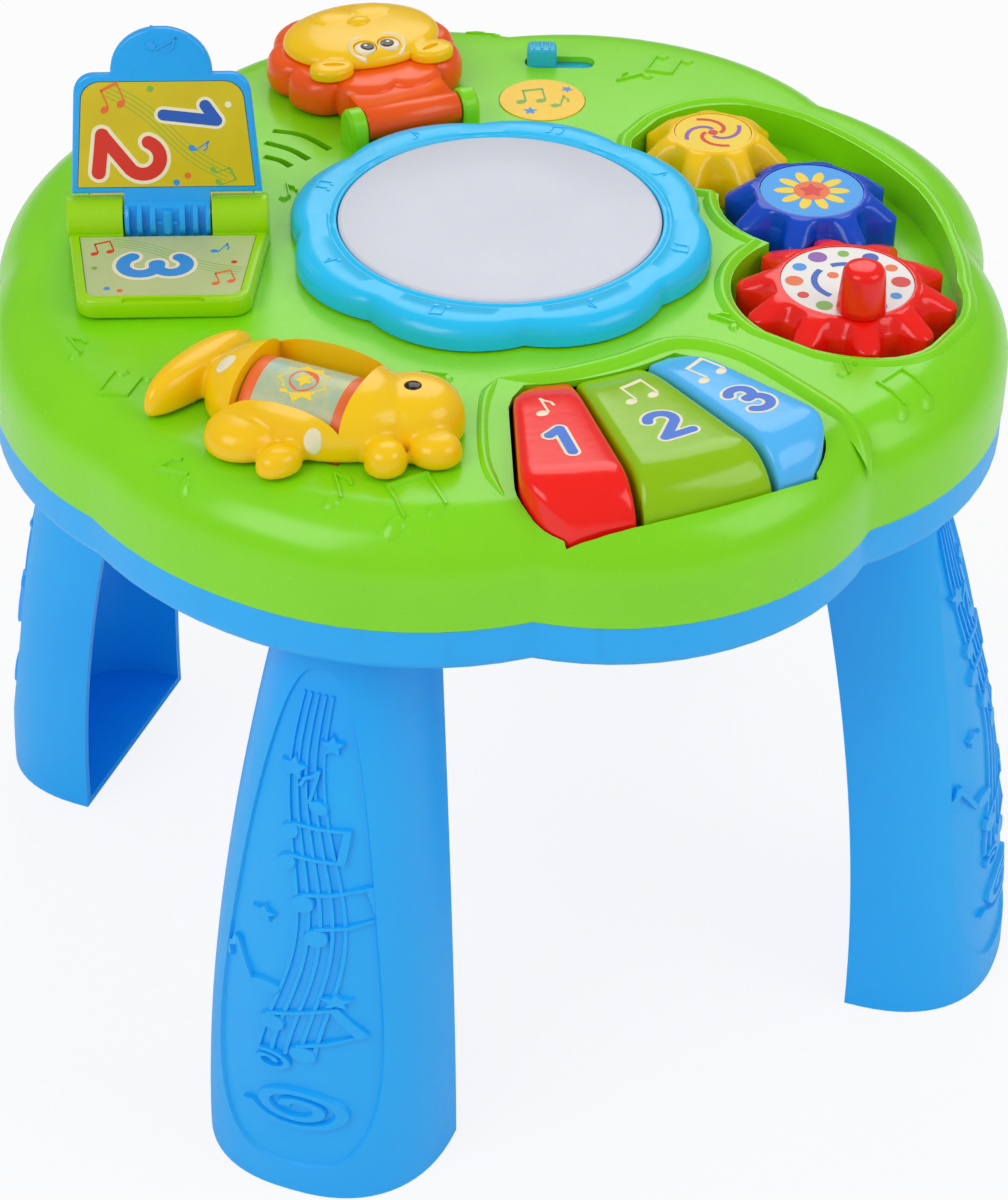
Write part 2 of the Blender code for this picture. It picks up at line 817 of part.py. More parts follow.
boxHalfX = cellPitch * 1.5 + gap
boxHalfY = cellLength / 2 + contactThickness + gap * 3
boxEndY = boxHalfY + doorMargin * 2
boxRoof = rimBottom + doorThickness + cellRadius * 2 + gap * 4
bossFoot = rimBottom + wall / 2
bossTop = partingHeight - gap / 2
bosses = bmesh.new()
addBox(bosses, (-boxHalfX - boxWall, -boxHalfY - boxWall, bossFoot), (boxHalfX + boxWall, boxEndY + boxWall, boxRoof + boxWall))
for angle in caseScrewAngles:
    x, y = polar(angle, caseScrewRadius)
    addDisc(bosses, columnRadius, bossFoot, bossTop, 10, x, y)
for keyLow, keyHigh in keyAngles.values():
    x, y = polar((keyLow + keyHigh) / 2, keyBoardOuter - postRadius * 2)
    addDisc(bosses, postRadius, bossFoot, keyBoardHeight - gap, 8, x, y)
speakerLow = speakerRoof - speakerDepth - gap * 3
addDisc(bosses, speakerMagnet, bossFoot, speakerLow - gap, 12, *speakerPlace)


def plugOutline(legName, spread):
    x, y = polar(legAngles[legName], legTopRadius + plugInset)
    slope = math.radians(stationTurn(legAngles[legName]))
    turned = []
    for a, b in roundedBox(plugWidth / 2 + spread, plugDepth / 2 + spread, wall):
        turned.append((x + a * math.cos(slope) - b * math.sin(slope), y + a * math.sin(slope) + b * math.cos(slope)))
    return turned


for legName in legAngles:
    addPrism(bosses, plugOutline(legName, wall), bossFoot, rimBottom + plugHeight + gap)
cut(baseShell, trayHollowTool)
join(baseShell, addTool("tray_bosses", bosses))

doorPost = bmesh.new()
doorPostY = boxHalfY + doorMargin
doorPostLow = rimBottom + doorThickness + gap
addTurned(doorPost, [(postRadius, doorPostLow), (postRadius, boxRoof + boxWall)], 12, 0.0, doorPostY)
doorPostTool = addTool("door_post", doorPost)
trayOpenings = bmesh.new()
addBox(trayOpenings, (-boxHalfX, -boxHalfY, rimBottom - cutOver), (boxHalfX, boxEndY, boxRoof))
for legName in legAngles:
    addPrism(trayOpenings, plugOutline(legName, gap), rimBottom - cutOver, rimBottom + plugHeight + cutOver)
for angle in caseScrewAngles:
    x, y = polar(angle, caseScrewRadius)
    headTop = rimBottom + caseHeadHeight + gap * 2
    bore = caseShank + gap
    head = caseHeadRadius + gap
    addTurned(trayOpenings, [(head, rimBottom - cutOver), (head, headTop), (bore, headTop), (bore, bossTop + cutOver)], 8, x, y)
trayOpeningTool = addTool("tray_openings", trayOpenings)
cut(trayOpeningTool, doorPostTool)
cut(baseShell, trayOpeningTool)
tongueSlot = bmesh.new()
tongueReach = boxWall * 0.8
tongueHigh = rimBottom + doorThickness
tongueLow = tongueHigh - doorTongueThickness
tongueHalf = doorTongueWidth / 2
addBox(
    tongueSlot,
    (-tongueHalf - gap, -boxHalfY - tongueReach - gap, tongueLow - gap),
    (tongueHalf + gap, -boxHalfY + boxWall, tongueHigh + gap),
)
cut(baseShell, addTool("door_tongue_slot", tongueSlot))
doorBore = bmesh.new()
addDisc(doorBore, caseShank + gap, doorPostLow - cutOver, boxRoof - boxWall, 8, 0.0, doorPostY)
doorBoreTool = addTool("door_bore", doorBore)
cut(baseShell, doorBoreTool)

# Legs: channels open to the middle, with a sole, a top plate and a hollow plug
legTop = rimBottom - gap


def legSection(height):
    share = height / legTop
    radius = legFootRadius + (legTopRadius - legFootRadius) * share ** legRadiusCurve
    half = legFootHalf + (legTopHalf - legFootHalf) * share ** legHalfCurve
    depth = legFootDepth + (legTopDepth - legFootDepth) * share ** legDepthCurve
    return radius, half, depth


def legPoint(height, across, inset):
    # Across runs from -1 to 1 over the width of the leg's outer wall.
    radius, half, depth = legSection(height)
    reach = min(1.0, abs(across))
    bulge = (1 - reach ** legRoundness) ** (1 / legRoundness)
    normalX = reach ** (legRoundness - 1) / half
    normalY = bulge ** (legRoundness - 1) / depth if bulge > 0 else 0.0
    size = math.hypot(normalX, normalY)
    side = 1 if across >= 0 else -1
    return side * (half * reach - inset * normalX / size), radius + depth * bulge - inset * normalY / size


def legLoop(height, inset, chordInset, steps):
    radius, half, depth = legSection(height)
    loop = []
    for step in range(steps + 1):
        turn = math.pi * step / steps
        across = math.copysign(abs(math.cos(turn)) ** (2 / legRoundness), math.cos(turn))
        bulge = abs(math.sin(turn)) ** (2 / legRoundness)
        loop.append(((half - inset) * across, radius + (depth - inset) * bulge, height))
    first = loop[0]
    last = loop[-1]
    loop.append((last[0], radius - chordInset, height))
    loop.append((first[0], radius - chordInset, height))
    return loop


panelLow = legTop * panelLowShare
panelHigh = legTop * panelHighShare


def panelRing(share, inset, sides=16):
    ring = []
    middle = (panelLow + panelHigh) / 2
    reach = (panelHigh - panelLow) / 2
    for step in range(sides):
        turn = math.tau * step / sides
        a = math.copysign(abs(math.cos(turn)) ** 0.8, math.cos(turn))
        b = math.copysign(abs(math.sin(turn)) ** 0.8, math.sin(turn))
        height = middle + reach * b * share
        across = a * share * panelWidthShare * (1.25 - 0.25 * b)
        x, y = legPoint(height, across, inset)
        ring.append((x, y, height))
    return ring


for legName, legAngle in legAngles.items():
    legEmpty = addEmpty(legName + "_station", (0.0, 0.0, 0.0), stationTurn(legAngle))
    leg = bmesh.new()
    heights = [legTop * step / legLevels for step in range(legLevels + 1)]
    addLoft(leg, [legLoop(height, 0.0, gap, legSteps) for height in heights])
    piece = addPiece(legName, leg, skyBlue, 0.3, parent=legEmpty)
    plug = bmesh.new()
    addPrism(plug, plugOutline(legName, 0.0), legTop - legWall / 2, legTop + plugHeight)
    join(piece, addTool(legName + "_plug", plug))
    plugHollow = bmesh.new()
    addPrism(plugHollow, plugOutline(legName, -wall), legTop + wall / 2, legTop + plugHeight + cutOver)
    cut(piece, addTool(legName + "_plug_hollow", plugHollow))
    channel = bmesh.new()
    channelHigh = legTop - legWall
    heights = [legSole + (channelHigh - legSole) * step / 4 for step in range(5)]
    addLoft(channel, [legLoop(height, legWall, cutOver, legSteps) for height in heights])
    cut(piece, addTool(legName + "_channel", channel, legEmpty))
    panel = bmesh.new()
    shares = (0.5, 1.0)
    rings = [panelRing(share, panelDepth) for share in shares]
    rings += [panelRing(share, -legWall) for share in reversed(shares)]
    addLoft(panel, rings)
    cut(piece, addTool(legName + "_panel", panel, legEmpty))

# Case screws, from below into the deck's columns
for order, angle in enumerate(caseScrewAngles):
    x, y = polar(angle, caseScrewRadius)
    screw = bmesh.new()
    headLow = rimBottom + gap
    headHigh = headLow + caseHeadHeight
    tip = columnLow + caseScrewLength - gap * 3
    addTurned(screw, [(caseHeadRadius, headLow), (caseHeadRadius, headHigh), (caseShank, headHigh), (caseShank, tip)], 8)
    addPiece("case_screw_" + str(order + 1), screw, steel, 0.35, 0.9, place=(x, y, 0.0))

# Battery box: cells, contacts, door and its screw
cellHeight = rimBottom + doorThickness + gap + cellRadius
for order in (-1, 0, 1):
    cell = bmesh.new()
    half = cellLength / 2
    profile = [(cellRadius, -half), (cellRadius, half - cellNubHeight), (cellNub, half - cellNubHeight), (cellNub, half)]
    addTurned(cell, profile, 12)
    flip = -1 if order == 0 else 1
    bmesh.ops.transform(cell, matrix=Matrix.Rotation(math.radians(-90) * flip, 4, "X"), verts=cell.verts)
    addPiece("cell_" + str(order + 2), cell, black, 0.4, 0.3, place=(order * cellPitch, 0.0, cellHeight))
contactHalf = cellPitch * 1.4
for contactName, side in (("contact_front", -1), ("contact_rear", 1)):
    contact = bmesh.new()
    start = side * (cellLength / 2 + gap)
    end = start + side * contactThickness
    low = (-contactHalf, min(start, end), cellHeight - cellRadius * 0.8)
    high = (contactHalf, max(start, end), cellHeight + cellRadius * 0.8)
    addBox(contact, low, high)
    addPiece(contactName, contact, steel, 0.3, 1.0)
door = bmesh.new()
addBox(door, (-boxHalfX + gap, -boxHalfY + gap, rimBottom), (boxHalfX - gap, boxEndY - gap, rimBottom + doorThickness))
doorPiece = addPiece("battery_door", door, skyBlue, 0.35)
tongue = bmesh.new()
addBox(tongue, (-tongueHalf, -boxHalfY - tongueReach, tongueLow), (tongueHalf, -boxHalfY + boxWall, tongueHigh))
join(doorPiece, addTool("door_tongue", tongue))
doorHole = bmesh.new()
headSeat = rimBottom + doorThickness * 0.45
shankWay = caseShank + gap
headWay = caseHeadRadius + gap
profile = [(headWay, rimBottom - cutOver), (headWay, headSeat), (shankWay, headSeat), (shankWay, rimBottom + cutOver)]
addTurned(doorHole, profile, 8)
cut(doorPiece, addTool("door_hole", doorHole, place=(0.0, doorPostY, 0.0)))
doorScrew = bmesh.new()
headHigh = headSeat - gap
headLow = rimBottom + gap / 3
tip = boxRoof - boxWall - gap * 3
profile = [(caseHeadRadius, headLow), (caseHeadRadius, headHigh), (caseShank, headHigh), (caseShank, tip)]
addTurned(doorScrew, profile, 8)
addPiece("door_screw", doorScrew, steel, 0.35, 0.9, place=(0.0, doorPostY, 0.0))

# Boards, domes and speaker
boardLow = boxRoof + boxWall + gap
boardHigh = boardLow + boardThickness
board = bmesh.new()
addBox(board, (-boardWidth / 2, -boardDepth / 2, boardLow), (boardWidth / 2, boardDepth / 2, boardHigh))
addPiece("main_board", board, boardGreen, 0.5)
domeLow = boardHigh + gap
drumDome = bmesh.new()
profile = [(domeRadius * 1.5, domeLow), (domeRadius * 1.5, domeLow + domeBase)]
profile += [(domeRadius, domeLow + domeBase), (domeRadius * 0.7, domeLow + domeBase + domeHeight)]
addTurned(drumDome, profile, 12)
addPiece("drum_dome", drumDome, rubberGrey, 0.8)
drumPlungerLow = domeLow + domeBase + domeHeight + drumTravel + gap * 2

sectorLow = keyAngles["key_red"][0] + 2.0
sectorHigh = keyAngles["key_blue"][1] + 1.0


def sector(inner, outer, low, high, steps=8):
    points = []
    for step in range(steps + 1):
        points.append(polar(low + (high - low) * step / steps, outer))
    for step in range(steps + 1):
        points.append(polar(high + (low - high) * step / steps, inner))
    return points


keyBoard = bmesh.new()
addPrism(keyBoard, sector(keyBoardInner, keyBoardOuter, sectorLow, sectorHigh), keyBoardHeight, keyBoardHeight + boardThickness)
addPiece("key_board", keyBoard, boardGreen, 0.5)
mat = bmesh.new()
matLow = keyBoardHeight + boardThickness + gap
addPrism(mat, sector(keyPlungerRadius - domeRadius * 1.4, keyPlungerRadius + domeRadius * 1.4, sectorLow, sectorHigh), matLow, matLow + domeBase)
matPiece = addPiece("key_mat", mat, rubberGrey, 0.8)
domes = bmesh.new()
for low, high in keyAngles.values():
    x, y = polar((low + high) / 2, keyPlungerRadius)
    profile = [(domeRadius, matLow + domeBase / 2), (domeRadius, matLow + domeBase), (domeRadius * 0.7, matLow + domeBase + domeHeight)]
    addTurned(domes, profile, 10, x, y)
join(matPiece, addTool("key_mat_domes", domes))

speaker = bmesh.new()
coneHigh = speakerRoof - gap * 3
coneLow = coneHigh - speakerDepth * 0.45
profile = [(speakerMagnet, speakerLow), (speakerMagnet, coneLow - speakerDepth * 0.2)]
profile += [(speakerRadius, coneLow), (speakerRadius, coneHigh)]
addTurned(speaker, profile, 16)
addPiece("speaker", speaker, black, 0.6, place=(speakerPlace[0], speakerPlace[1], 0.0))

# Drum: flower ring and sprung pad
ring = bmesh.new()
ringFloor = deckHeight + gap
ringSteps = 6
outline = []
for step in range(ringLobes * ringSteps):
    share = (step % ringSteps) / ringSteps
    angle = math.radians(ringPhase + 360 * step / (ringLobes * ringSteps))
    radius = ringRadius - ringNotch * (2 * share - 1) ** 2
    outline.append((radius * math.cos(angle), radius * math.sin(angle)))
ringRise = ringTop - ringFloor
addDome(ring, outline, [(1.0, ringFloor), (1.0, ringFloor + ringRise * 0.45), (0.975, ringFloor + ringRise * 0.82), (0.94, ringTop)])
ringPiece = addPiece("drum_ring", ring, cyan, 0.3)
ringHole = bmesh.new()
addDisc(ringHole, drumRadius + ringClearance, ringFloor - cutOver, ringTop + cutOver, 40)
cut(ringPiece, addTool("drum_ring_hole", ringHole))
padEmpty = addEmpty("drum_slide", (0.0, 0.0, drumTop))
pad = bmesh.new()
addTurned(pad, [(drumRadius, -drumThickness - drumSkirtDrop), (drumRadius, -drumThickness * 0.4), (drumRadius * 0.985, 0.0)], 40)
padPiece = addPiece("drum_pad", pad, lilac, 0.35, parent=padEmpty)
padHollow = bmesh.new()
innerWall = drumRadius - drumSkirt
addDisc(padHollow, innerWall, -drumThickness - drumSkirtDrop - cutOver, -drumThickness, 24)
padHollowTool = addTool("drum_pad_hollow", padHollow, padEmpty)
plunger = bmesh.new()
plungerLow = drumPlungerLow - drumTop
addDisc(plunger, drumPlunger, plungerLow, -drumThickness / 2, 12)
cut(padPiece, padHollowTool)
join(padPiece, addTool("drum_plunger", plunger, padEmpty))

# Keys, each with a rear hub on its own steel pin
keyColours = {"key_red": red, "key_lime": lime, "key_blue": keyBlue}
bpy.context.view_layer.update()
for keyName, keyEmpty in keyEmpties.items():
    place = Vector((0.0, keyHingeRadius, keyHingeHeight))
    toLocal = (keyEmpty.matrix_world @ Matrix.Translation(place)).inverted()
    key = bmesh.new()
    addKeyBody(key, keyName)
    bmesh.ops.transform(key, matrix=toLocal, verts=key.verts)
    keyPiece = addPiece(keyName, key, keyColours[keyName], 0.2, parent=keyEmpty, place=place)
    hub = bmesh.new()
    ends = []
    webLength = keyInner - keyHingeRadius + keyHubRadius
    for x in (-keyHubHalf, keyHubHalf):
        loop = [(x, webLength, -keyHubRadius), (x, webLength, keyHubRadius)]
        for step in range(7):
            angle = math.radians(90 + 30 * step)
            loop.append((x, keyHubRadius * math.cos(angle), keyHubRadius * math.sin(angle)))
        ends.append(loop)
    addLoft(hub, ends)
    floor = keyBottom - keyHingeHeight
    reach = keyPlungerRadius - keyHingeRadius
    low = (-keyPlungerSize, reach - keyPlungerSize, floor - keyPlungerDrop)
    addBox(hub, low, (keyPlungerSize, reach + keyPlungerSize, floor + keyPlungerSize))
    join(keyPiece, addTool(keyName + "_hub", hub, keyEmpty, place))
    bore = bmesh.new()
    addBar(bore, keyPinRadius + runningClearance, -keyHubHalf - cutOver, keyHubHalf + cutOver, 12)
    cut(keyPiece, addTool(keyName + "_bore", bore, keyEmpty, place))
    pin = bmesh.new()
    addBar(pin, keyPinRadius, -keyPinHalf, keyPinHalf, 8)
    addPiece(keyName.replace("key", "key_pin"), pin, steel, 0.3, 1.0, parent=keyEmpty, place=place)

# Gears, each on its axle post with a flanged screw under its picture disc
gearColours = {"gear_red": red, "gear_blue": gearBlue, "gear_yellow": yellow}
decalColours = {"gear_red": white, "gear_blue": keyBlue, "gear_yellow": yellow}
for gearName in gearNames:
    x, y = gearCentres[gearName]
    gearEmpty = addEmpty(gearName + "_spin", (x, y, gearBottom))
    outline = gearOutline(gearName)
    crownTop = gearWall + gearRise[gearName]
    crown = []
    for a, b in outline:
        size = math.hypot(a, b)
        crown.append((a / size * gearRingRadius[gearName], b / size * gearRingRadius[gearName]))
    gear = bmesh.new()
    addLoft(gear, [
        [(a, b, 0.0) for a, b in outline],
        [(a, b, gearWall) for a, b in outline],
        [(a, b, crownTop) for a, b in crown],
    ])
    gearPiece = addPiece(gearName, gear, gearColours[gearName], 0.22, parent=gearEmpty)
    pegTool = None
    if gearName == gearNames[0]:
        slope = math.radians(knobAngle)
        knobX = knobOffset * math.cos(slope)
        knobY = knobOffset * math.sin(slope)
        pegHole = bmesh.new()
        addDisc(pegHole, knobPegRadius + gap, crownTop - knobPegLength - gap, crownTop + cutOver, 12, knobX, knobY)
        pegTool = addTool("knob_hole", pegHole, gearEmpty)
        cut(gearPiece, pegTool)
    recessRadius = gearRingRadius[gearName] - gearRim
    recessFloor = crownTop - gearRecess
    axleTop = gearFloor + axleHeight - gearBottom
    flangeLow = axleTop + gap
    flangeWay = screwFlange + gap * 3
    counterFloor = flangeLow - gap * 2
    boreRadius = axleRadius + runningClearance
    holes = bmesh.new()
    profile = [(boreRadius, -cutOver), (boreRadius, counterFloor), (flangeWay, counterFloor), (flangeWay, recessFloor)]
    profile += [(recessRadius, recessFloor), (recessRadius, crownTop + cutOver)]
    addTurned(holes, profile, 24)
    cut(gearPiece, addTool(gearName + "_holes", holes, gearEmpty))
    cavity = bmesh.new()
    cavityRadius = gearModule * (gearTeeth[gearName] + toothRadiusShares[0]) - gearShell
    addDisc(cavity, cavityRadius, -cutOver, gearWall - gearShell, 16)
    cavityTool = addTool(gearName + "_cavity", cavity, gearEmpty)
    hubBlock = bmesh.new()
    addDisc(hubBlock, boreRadius + gearHubWall, -cutOver * 2, gearWall, 12)
    cut(cavityTool, addTool(gearName + "_hub", hubBlock, gearEmpty))
    cut(gearPiece, cavityTool)
    screw = bmesh.new()
    flangeHigh = flangeLow + screwFlangeHeight
    profile = [(screwShank, flangeLow - screwLength), (screwShank, flangeLow), (screwFlange, flangeLow), (screwFlange, flangeHigh)]
    profile += [(screwHeadRadius, flangeHigh), (screwHeadRadius, flangeHigh + screwHeadHeight)]
    addTurned(screw, profile, 12)
    addPiece(gearName.replace("gear", "gear_screw"), screw, steel, 0.35, 0.9, place=(x, y, gearBottom))
    decal = bmesh.new()
    addDisc(decal, recessRadius - gap, recessFloor + gap, recessFloor + gap + decalThickness, 24)
    decalPiece = addPiece(gearName.replace("gear", "gear_disc"), decal, decalColours[gearName], 0.3, parent=gearEmpty)
    if pegTool is not None:
        cut(decalPiece, pegTool)
        knob = bmesh.new()
        base = crownTop + gap
        profile = [(knobPegRadius, crownTop - knobPegLength), (knobPegRadius, base), (knobRadius, base)]
        profile += [(knobTopRadius, base + knobHeight * 0.88), (knobTopRadius * 0.72, base + knobHeight)]
        addTurned(knob, profile, 16, knobX, knobY)
        addPiece("gear_knob", knob, red, 0.2, parent=gearEmpty)

# Book: base with two barrels, a leaf on a steel pin, and four picture cards
bookSeat = deckHeight - deckFall * 0.2 + gap
bookTop = bookHingeHeight - leafThickness / 2 - gap * 2


def bookOutline(inset, side):
    half = bookWidth / 2 - inset
    end = bookEndWidth / 2 - inset
    reach = bookLength - inset
    corner = bookRimWidth * 1.5
    points = [(-half, 0.0), (half, 0.0), (end, reach - corner), (end - corner, reach), (corner - end, reach), (-end, reach - corner)]
    return [(x, y * side) for x, y in points]


base = bmesh.new()
front = bookOutline(0.0, -1)
rear = bookOutline(0.0, 1)
addPrism(base, front[2:] + [front[0]] + rear[5:1:-1] + [rear[1]], bookSeat, bookTop)
bookBase = addPiece("book_base", base, lime, 0.3, parent=bookEmpty)
barrel = bmesh.new()
addBar(barrel, bookBarrelRadius, gap - bookWidth / 2, bookWidth / 2 - gap, 20, 0.0, bookHingeHeight)
join(bookBase, addTool("book_barrel", barrel, bookEmpty))
cardInner = bookBarrelRadius * 1.05
cardFloor = bookTop - bookRimHeight
for side, cardName, colour in ((-1, "book_card_front", paleGreen), (1, "book_card_rear", gold)):
    for inset, kind in ((bookRimWidth, "seat"), (bookRimWidth + gap, "card")):
        outline = bookOutline(inset, side)
        slopeShare = cardInner / bookLength
        width = bookWidth / 2 - inset - (bookWidth - bookEndWidth) / 2 * slopeShare
        start = (cardInner + (gap if kind == "card" else 0.0)) * side
        outline = [(-width, start), (width, start)] + outline[2:]
        shape = bmesh.new()
        if kind == "seat":
            addPrism(shape, outline, cardFloor, bookTop + cutOver)
            cut(bookBase, addTool(cardName + "_seat", shape, bookEmpty))
        else:
            addPrism(shape, outline, cardFloor + gap, cardFloor + gap + cardThickness)
            addPiece(cardName, shape, colour, 0.35, parent=bookEmpty)
slot = bmesh.new()
knuckleHalf = bookKnuckleWidth / 2
slotHalf = knuckleHalf + gap * 2
addBox(slot, (-slotHalf, -cardInner, bookSeat + wall * 0.5), (slotHalf, cardInner, bookHingeHeight + cutOver))
cut(bookBase, addTool("book_slot", slot, bookEmpty))
pinWay = bmesh.new()
pinHalf = bookWidth / 2 - wall
addBar(pinWay, bookPinRadius + gap, -pinHalf - gap, pinHalf + gap, 12, 0.0, bookHingeHeight)
cut(bookBase, addTool("book_pin_way", pinWay, bookEmpty))
bookPin = bmesh.new()
addBar(bookPin, bookPinRadius, -pinHalf, pinHalf, 10, 0.0, bookHingeHeight)
addPiece("book_pin", bookPin, steel, 0.3, 1.0, parent=bookEmpty)

leafEmpty = addEmpty("book_leaf_hinge", (0.0, 0.0, bookHingeHeight))
leafEmpty.parent = bookEmpty
leafEmpty.rotation_euler = (math.radians(-leafLean), 0.0, 0.0)


def leafOutline(inset):
    corner = leafTabRadius * 0.35
    half = leafWidth / 2 - inset
    top = leafTopWidth / 2 - inset
    low = leafStart + inset
    high = leafLength - inset
    points = [(half, low), (top, high - corner)]
    for step in (1, 2, 3):
        angle = math.radians(30 * step)
        points.append((top - corner + corner * math.cos(angle), high - corner + corner * math.sin(angle)))
    return points


def mirrored(points):
    return points + [(-x, y) for x, y in reversed(points)]


def addLeafPlate(bm, outline, low, high):
    addLoft(bm, [[(x, y, z) for x, z in outline] for y in (low, high)])


plate = bmesh.new()
rightEdge = leafOutline(0.0)
for step in range(7):
    angle = math.radians(15 * step - 3)
    rightEdge.append((leafTabRadius * math.cos(angle), leafLength + leafTabRise * max(0.0, math.sin(angle))))
addLeafPlate(plate, mirrored(rightEdge), -leafThickness / 2, leafThickness / 2)
leaf = addPiece("book_leaf", plate, skyBlue, 0.3, parent=leafEmpty)
knuckle = bmesh.new()
ends = []
knuckleRadius = bookBarrelRadius - gap
for x in (-knuckleHalf, knuckleHalf):
    loop = [(x, leafThickness / 2, leafStart + wall), (x, -leafThickness / 2, leafStart + wall)]
    for step in range(15):
        angle = math.radians(110 + 320 * step / 14)
        loop.append((x, knuckleRadius * math.cos(angle), knuckleRadius * math.sin(angle)))
    ends.append(loop)
addLoft(knuckle, ends)
join(leaf, addTool("book_knuckle", knuckle, leafEmpty))
knuckleBore = bmesh.new()
addBar(knuckleBore, bookPinRadius + runningClearance, -bookWidth, bookWidth, 12)
cut(leaf, addTool("book_knuckle_bore", knuckleBore, leafEmpty))
for side, cardName, colour in ((-1, "leaf_card_front", gold), (1, "leaf_card_rear", paleGreen)):
    face = leafThickness / 2
    floor = face - cardThickness - gap
    seat = bmesh.new()
    limits = sorted((side * floor, side * (face + wall)))
    addLeafPlate(seat, mirrored(leafOutline(leafRimWidth)), limits[0], limits[1])
    cut(leaf, addTool(cardName + "_seat", seat, leafEmpty))
    card = bmesh.new()
    limits = sorted((side * (floor + gap), side * (floor + gap + cardThickness)))
    addLeafPlate(card, mirrored(leafOutline(leafRimWidth + gap)), limits[0], limits[1])
    addPiece(cardName, card, colour, 0.35, parent=leafEmpty)

# Lion: scalloped mane and face, flipping up on a pin between two posts
lionHinge = addEmpty("lion_hinge", (0.0, lionHingeRadius, lionHingeHeight))
lionHinge.parent = lionEmpty
posts = bmesh.new()
for side in (-1, 1):
    start = side * (lionBarrelHalf + gap * 2)
    end = start + side * lionPostThickness
    postFloor = deckLevel(lionHingeRadius) - wall * 0.5
    addArch(posts, min(start, end), max(start, end), lionHingeRadius, postFloor, lionHingeHeight, lionPostRadius)
join(topShell, addTool("lion_posts", posts, lionEmpty))
pinWay = bmesh.new()
lionPinHalf = lionBarrelHalf + lionPostThickness * 0.7
addBar(pinWay, lionPinRadius + gap, -lionPinHalf - gap, lionPinHalf + gap, 12)
cut(topShell, addTool("lion_pin_way", pinWay, lionHinge))
lionPin = bmesh.new()
addBar(lionPin, lionPinRadius, -lionPinHalf, lionPinHalf, 10)
addPiece("lion_pin", lionPin, steel, 0.3, 1.0, parent=lionHinge)

maneOutline = []
maneSteps = 4
for step in range(lionManeLobes * maneSteps):
    share = (step % maneSteps) / maneSteps
    angle = math.radians(90 + 360 * (step / maneSteps - 0.5) / lionManeLobes)
    radius = lionManeRadius - lionManeScallop * (2 * share - 1) ** 2
    maneOutline.append((radius * math.cos(angle), lionManeReach + radius * math.sin(angle)))
maneLow = lionManeBottom - lionHingeHeight
maneHigh = lionManeTop - lionHingeHeight
maneRise = maneHigh - maneLow
mane = bmesh.new()
levels = [(0.97, maneLow), (1.0, maneLow + maneRise * 0.2), (1.0, maneLow + maneRise * 0.55), (0.96, maneHigh - maneRise * 0.12), (0.89, maneHigh)]
addDome(mane, maneOutline, levels, (0.0, lionManeReach))
lionMane = addPiece("lion_mane", mane, orange, 0.28, parent=lionHinge)
underside = bmesh.new()
addDisc(underside, lionManeRadius - lionManeScallop - wall * 2, maneLow - cutOver, maneHigh - wall * 1.6, 24, 0.0, lionManeReach)
cut(lionMane, addTool("lion_mane_hollow", underside, lionHinge))
neck = bmesh.new()
ends = []
for x in (-lionBarrelHalf, lionBarrelHalf):
    reach = lionManeReach - lionManeRadius + lionManeScallop * 2
    loop = [(x, reach, -lionBarrelRadius * 0.8), (x, reach, lionBarrelRadius * 0.8)]
    for step in range(9):
        angle = math.radians(53 + 254 * step / 8)
        loop.append((x, lionBarrelRadius * math.cos(angle), lionBarrelRadius * math.sin(angle)))
    ends.append(loop)
addLoft(neck, ends)
join(lionMane, addTool("lion_neck", neck, lionHinge))
barrelBore = bmesh.new()
addBar(barrelBore, lionPinRadius + runningClearance, -lionBarrelHalf * 2, lionBarrelHalf * 2, 12)
cut(lionMane, addTool("lion_barrel_bore", barrelBore, lionHinge))

faceY = lionManeReach + lionFaceOffset
faceLow = maneHigh + gap
faceHigh = lionFaceTop - lionHingeHeight
faceRise = faceHigh - faceLow
face = bmesh.new()
levels = [(1.0, faceLow), (1.0, faceLow + faceRise * 0.3), (0.93, faceLow + faceRise * 0.62), (0.74, faceLow + faceRise * 0.86), (0.4, faceHigh)]
addDome(face, ellipse(lionFaceWidth, lionFaceLength, 24, 0.0, faceY), levels, (0.0, faceY))
lionFace = addPiece("lion_face", face, yellow, 0.25, parent=lionHinge)
ears = bmesh.new()
earY = faceY - lionFaceLength
for side in (-1, 1):
    x = side * lionFaceWidth * 0.66
    earOutline = ellipse(lionEarRadius, lionEarRadius * 0.8, 12, x, earY + lionEarRadius * 0.25)
    addDome(ears, earOutline, [(1.0, faceLow), (1.0, faceLow + faceRise * 0.4), (0.75, faceLow + faceRise * 0.62)], (x, earY + lionEarRadius * 0.25))
join(lionFace, addTool("lion_ears", ears, lionHinge))
eyeY = faceY - lionFaceLength * 0.70
eyeFloor = faceLow + faceRise * 0.60
eyeSeats = bmesh.new()
for side in (-1, 1):
    addDisc(eyeSeats, lionEyeRadius + gap, eyeFloor, faceHigh + cutOver, 12, side * lionEyeSpread, eyeY)
cut(lionFace, addTool("lion_eye_seats", eyeSeats, lionHinge))
for eyeName, side in (("lion_eye_left", -1), ("lion_eye_right", 1)):
    eye = bmesh.new()
    x = side * lionEyeSpread
    addTurned(eye, [(lionEyeRadius, eyeFloor + gap), (lionEyeRadius, eyeFloor + gap * 5), (lionEyeRadius * 0.7, eyeFloor + gap * 7)], 12, x, eyeY)
    addPiece(eyeName, eye, white, 0.25, parent=lionHinge)

# Lying animal: body over a spinning picture roller
animalFloor = deckLevel(animalRadius - animalHalfWidth * 1.3) + gap
animal = bmesh.new()
bodyLevels = ((1.0, 0.0), (1.0, 0.28), (0.93, 0.62), (0.78, 0.87), (0.5, 1.0))


def addLump(bm, x, y, halfX, halfY, turn, rise, sides=20):
    outline = ellipse(halfX, halfY, sides, x, y, turn)
    addDome(bm, outline, [(share, animalFloor + rise * height) for share, height in bodyLevels], (x, y))


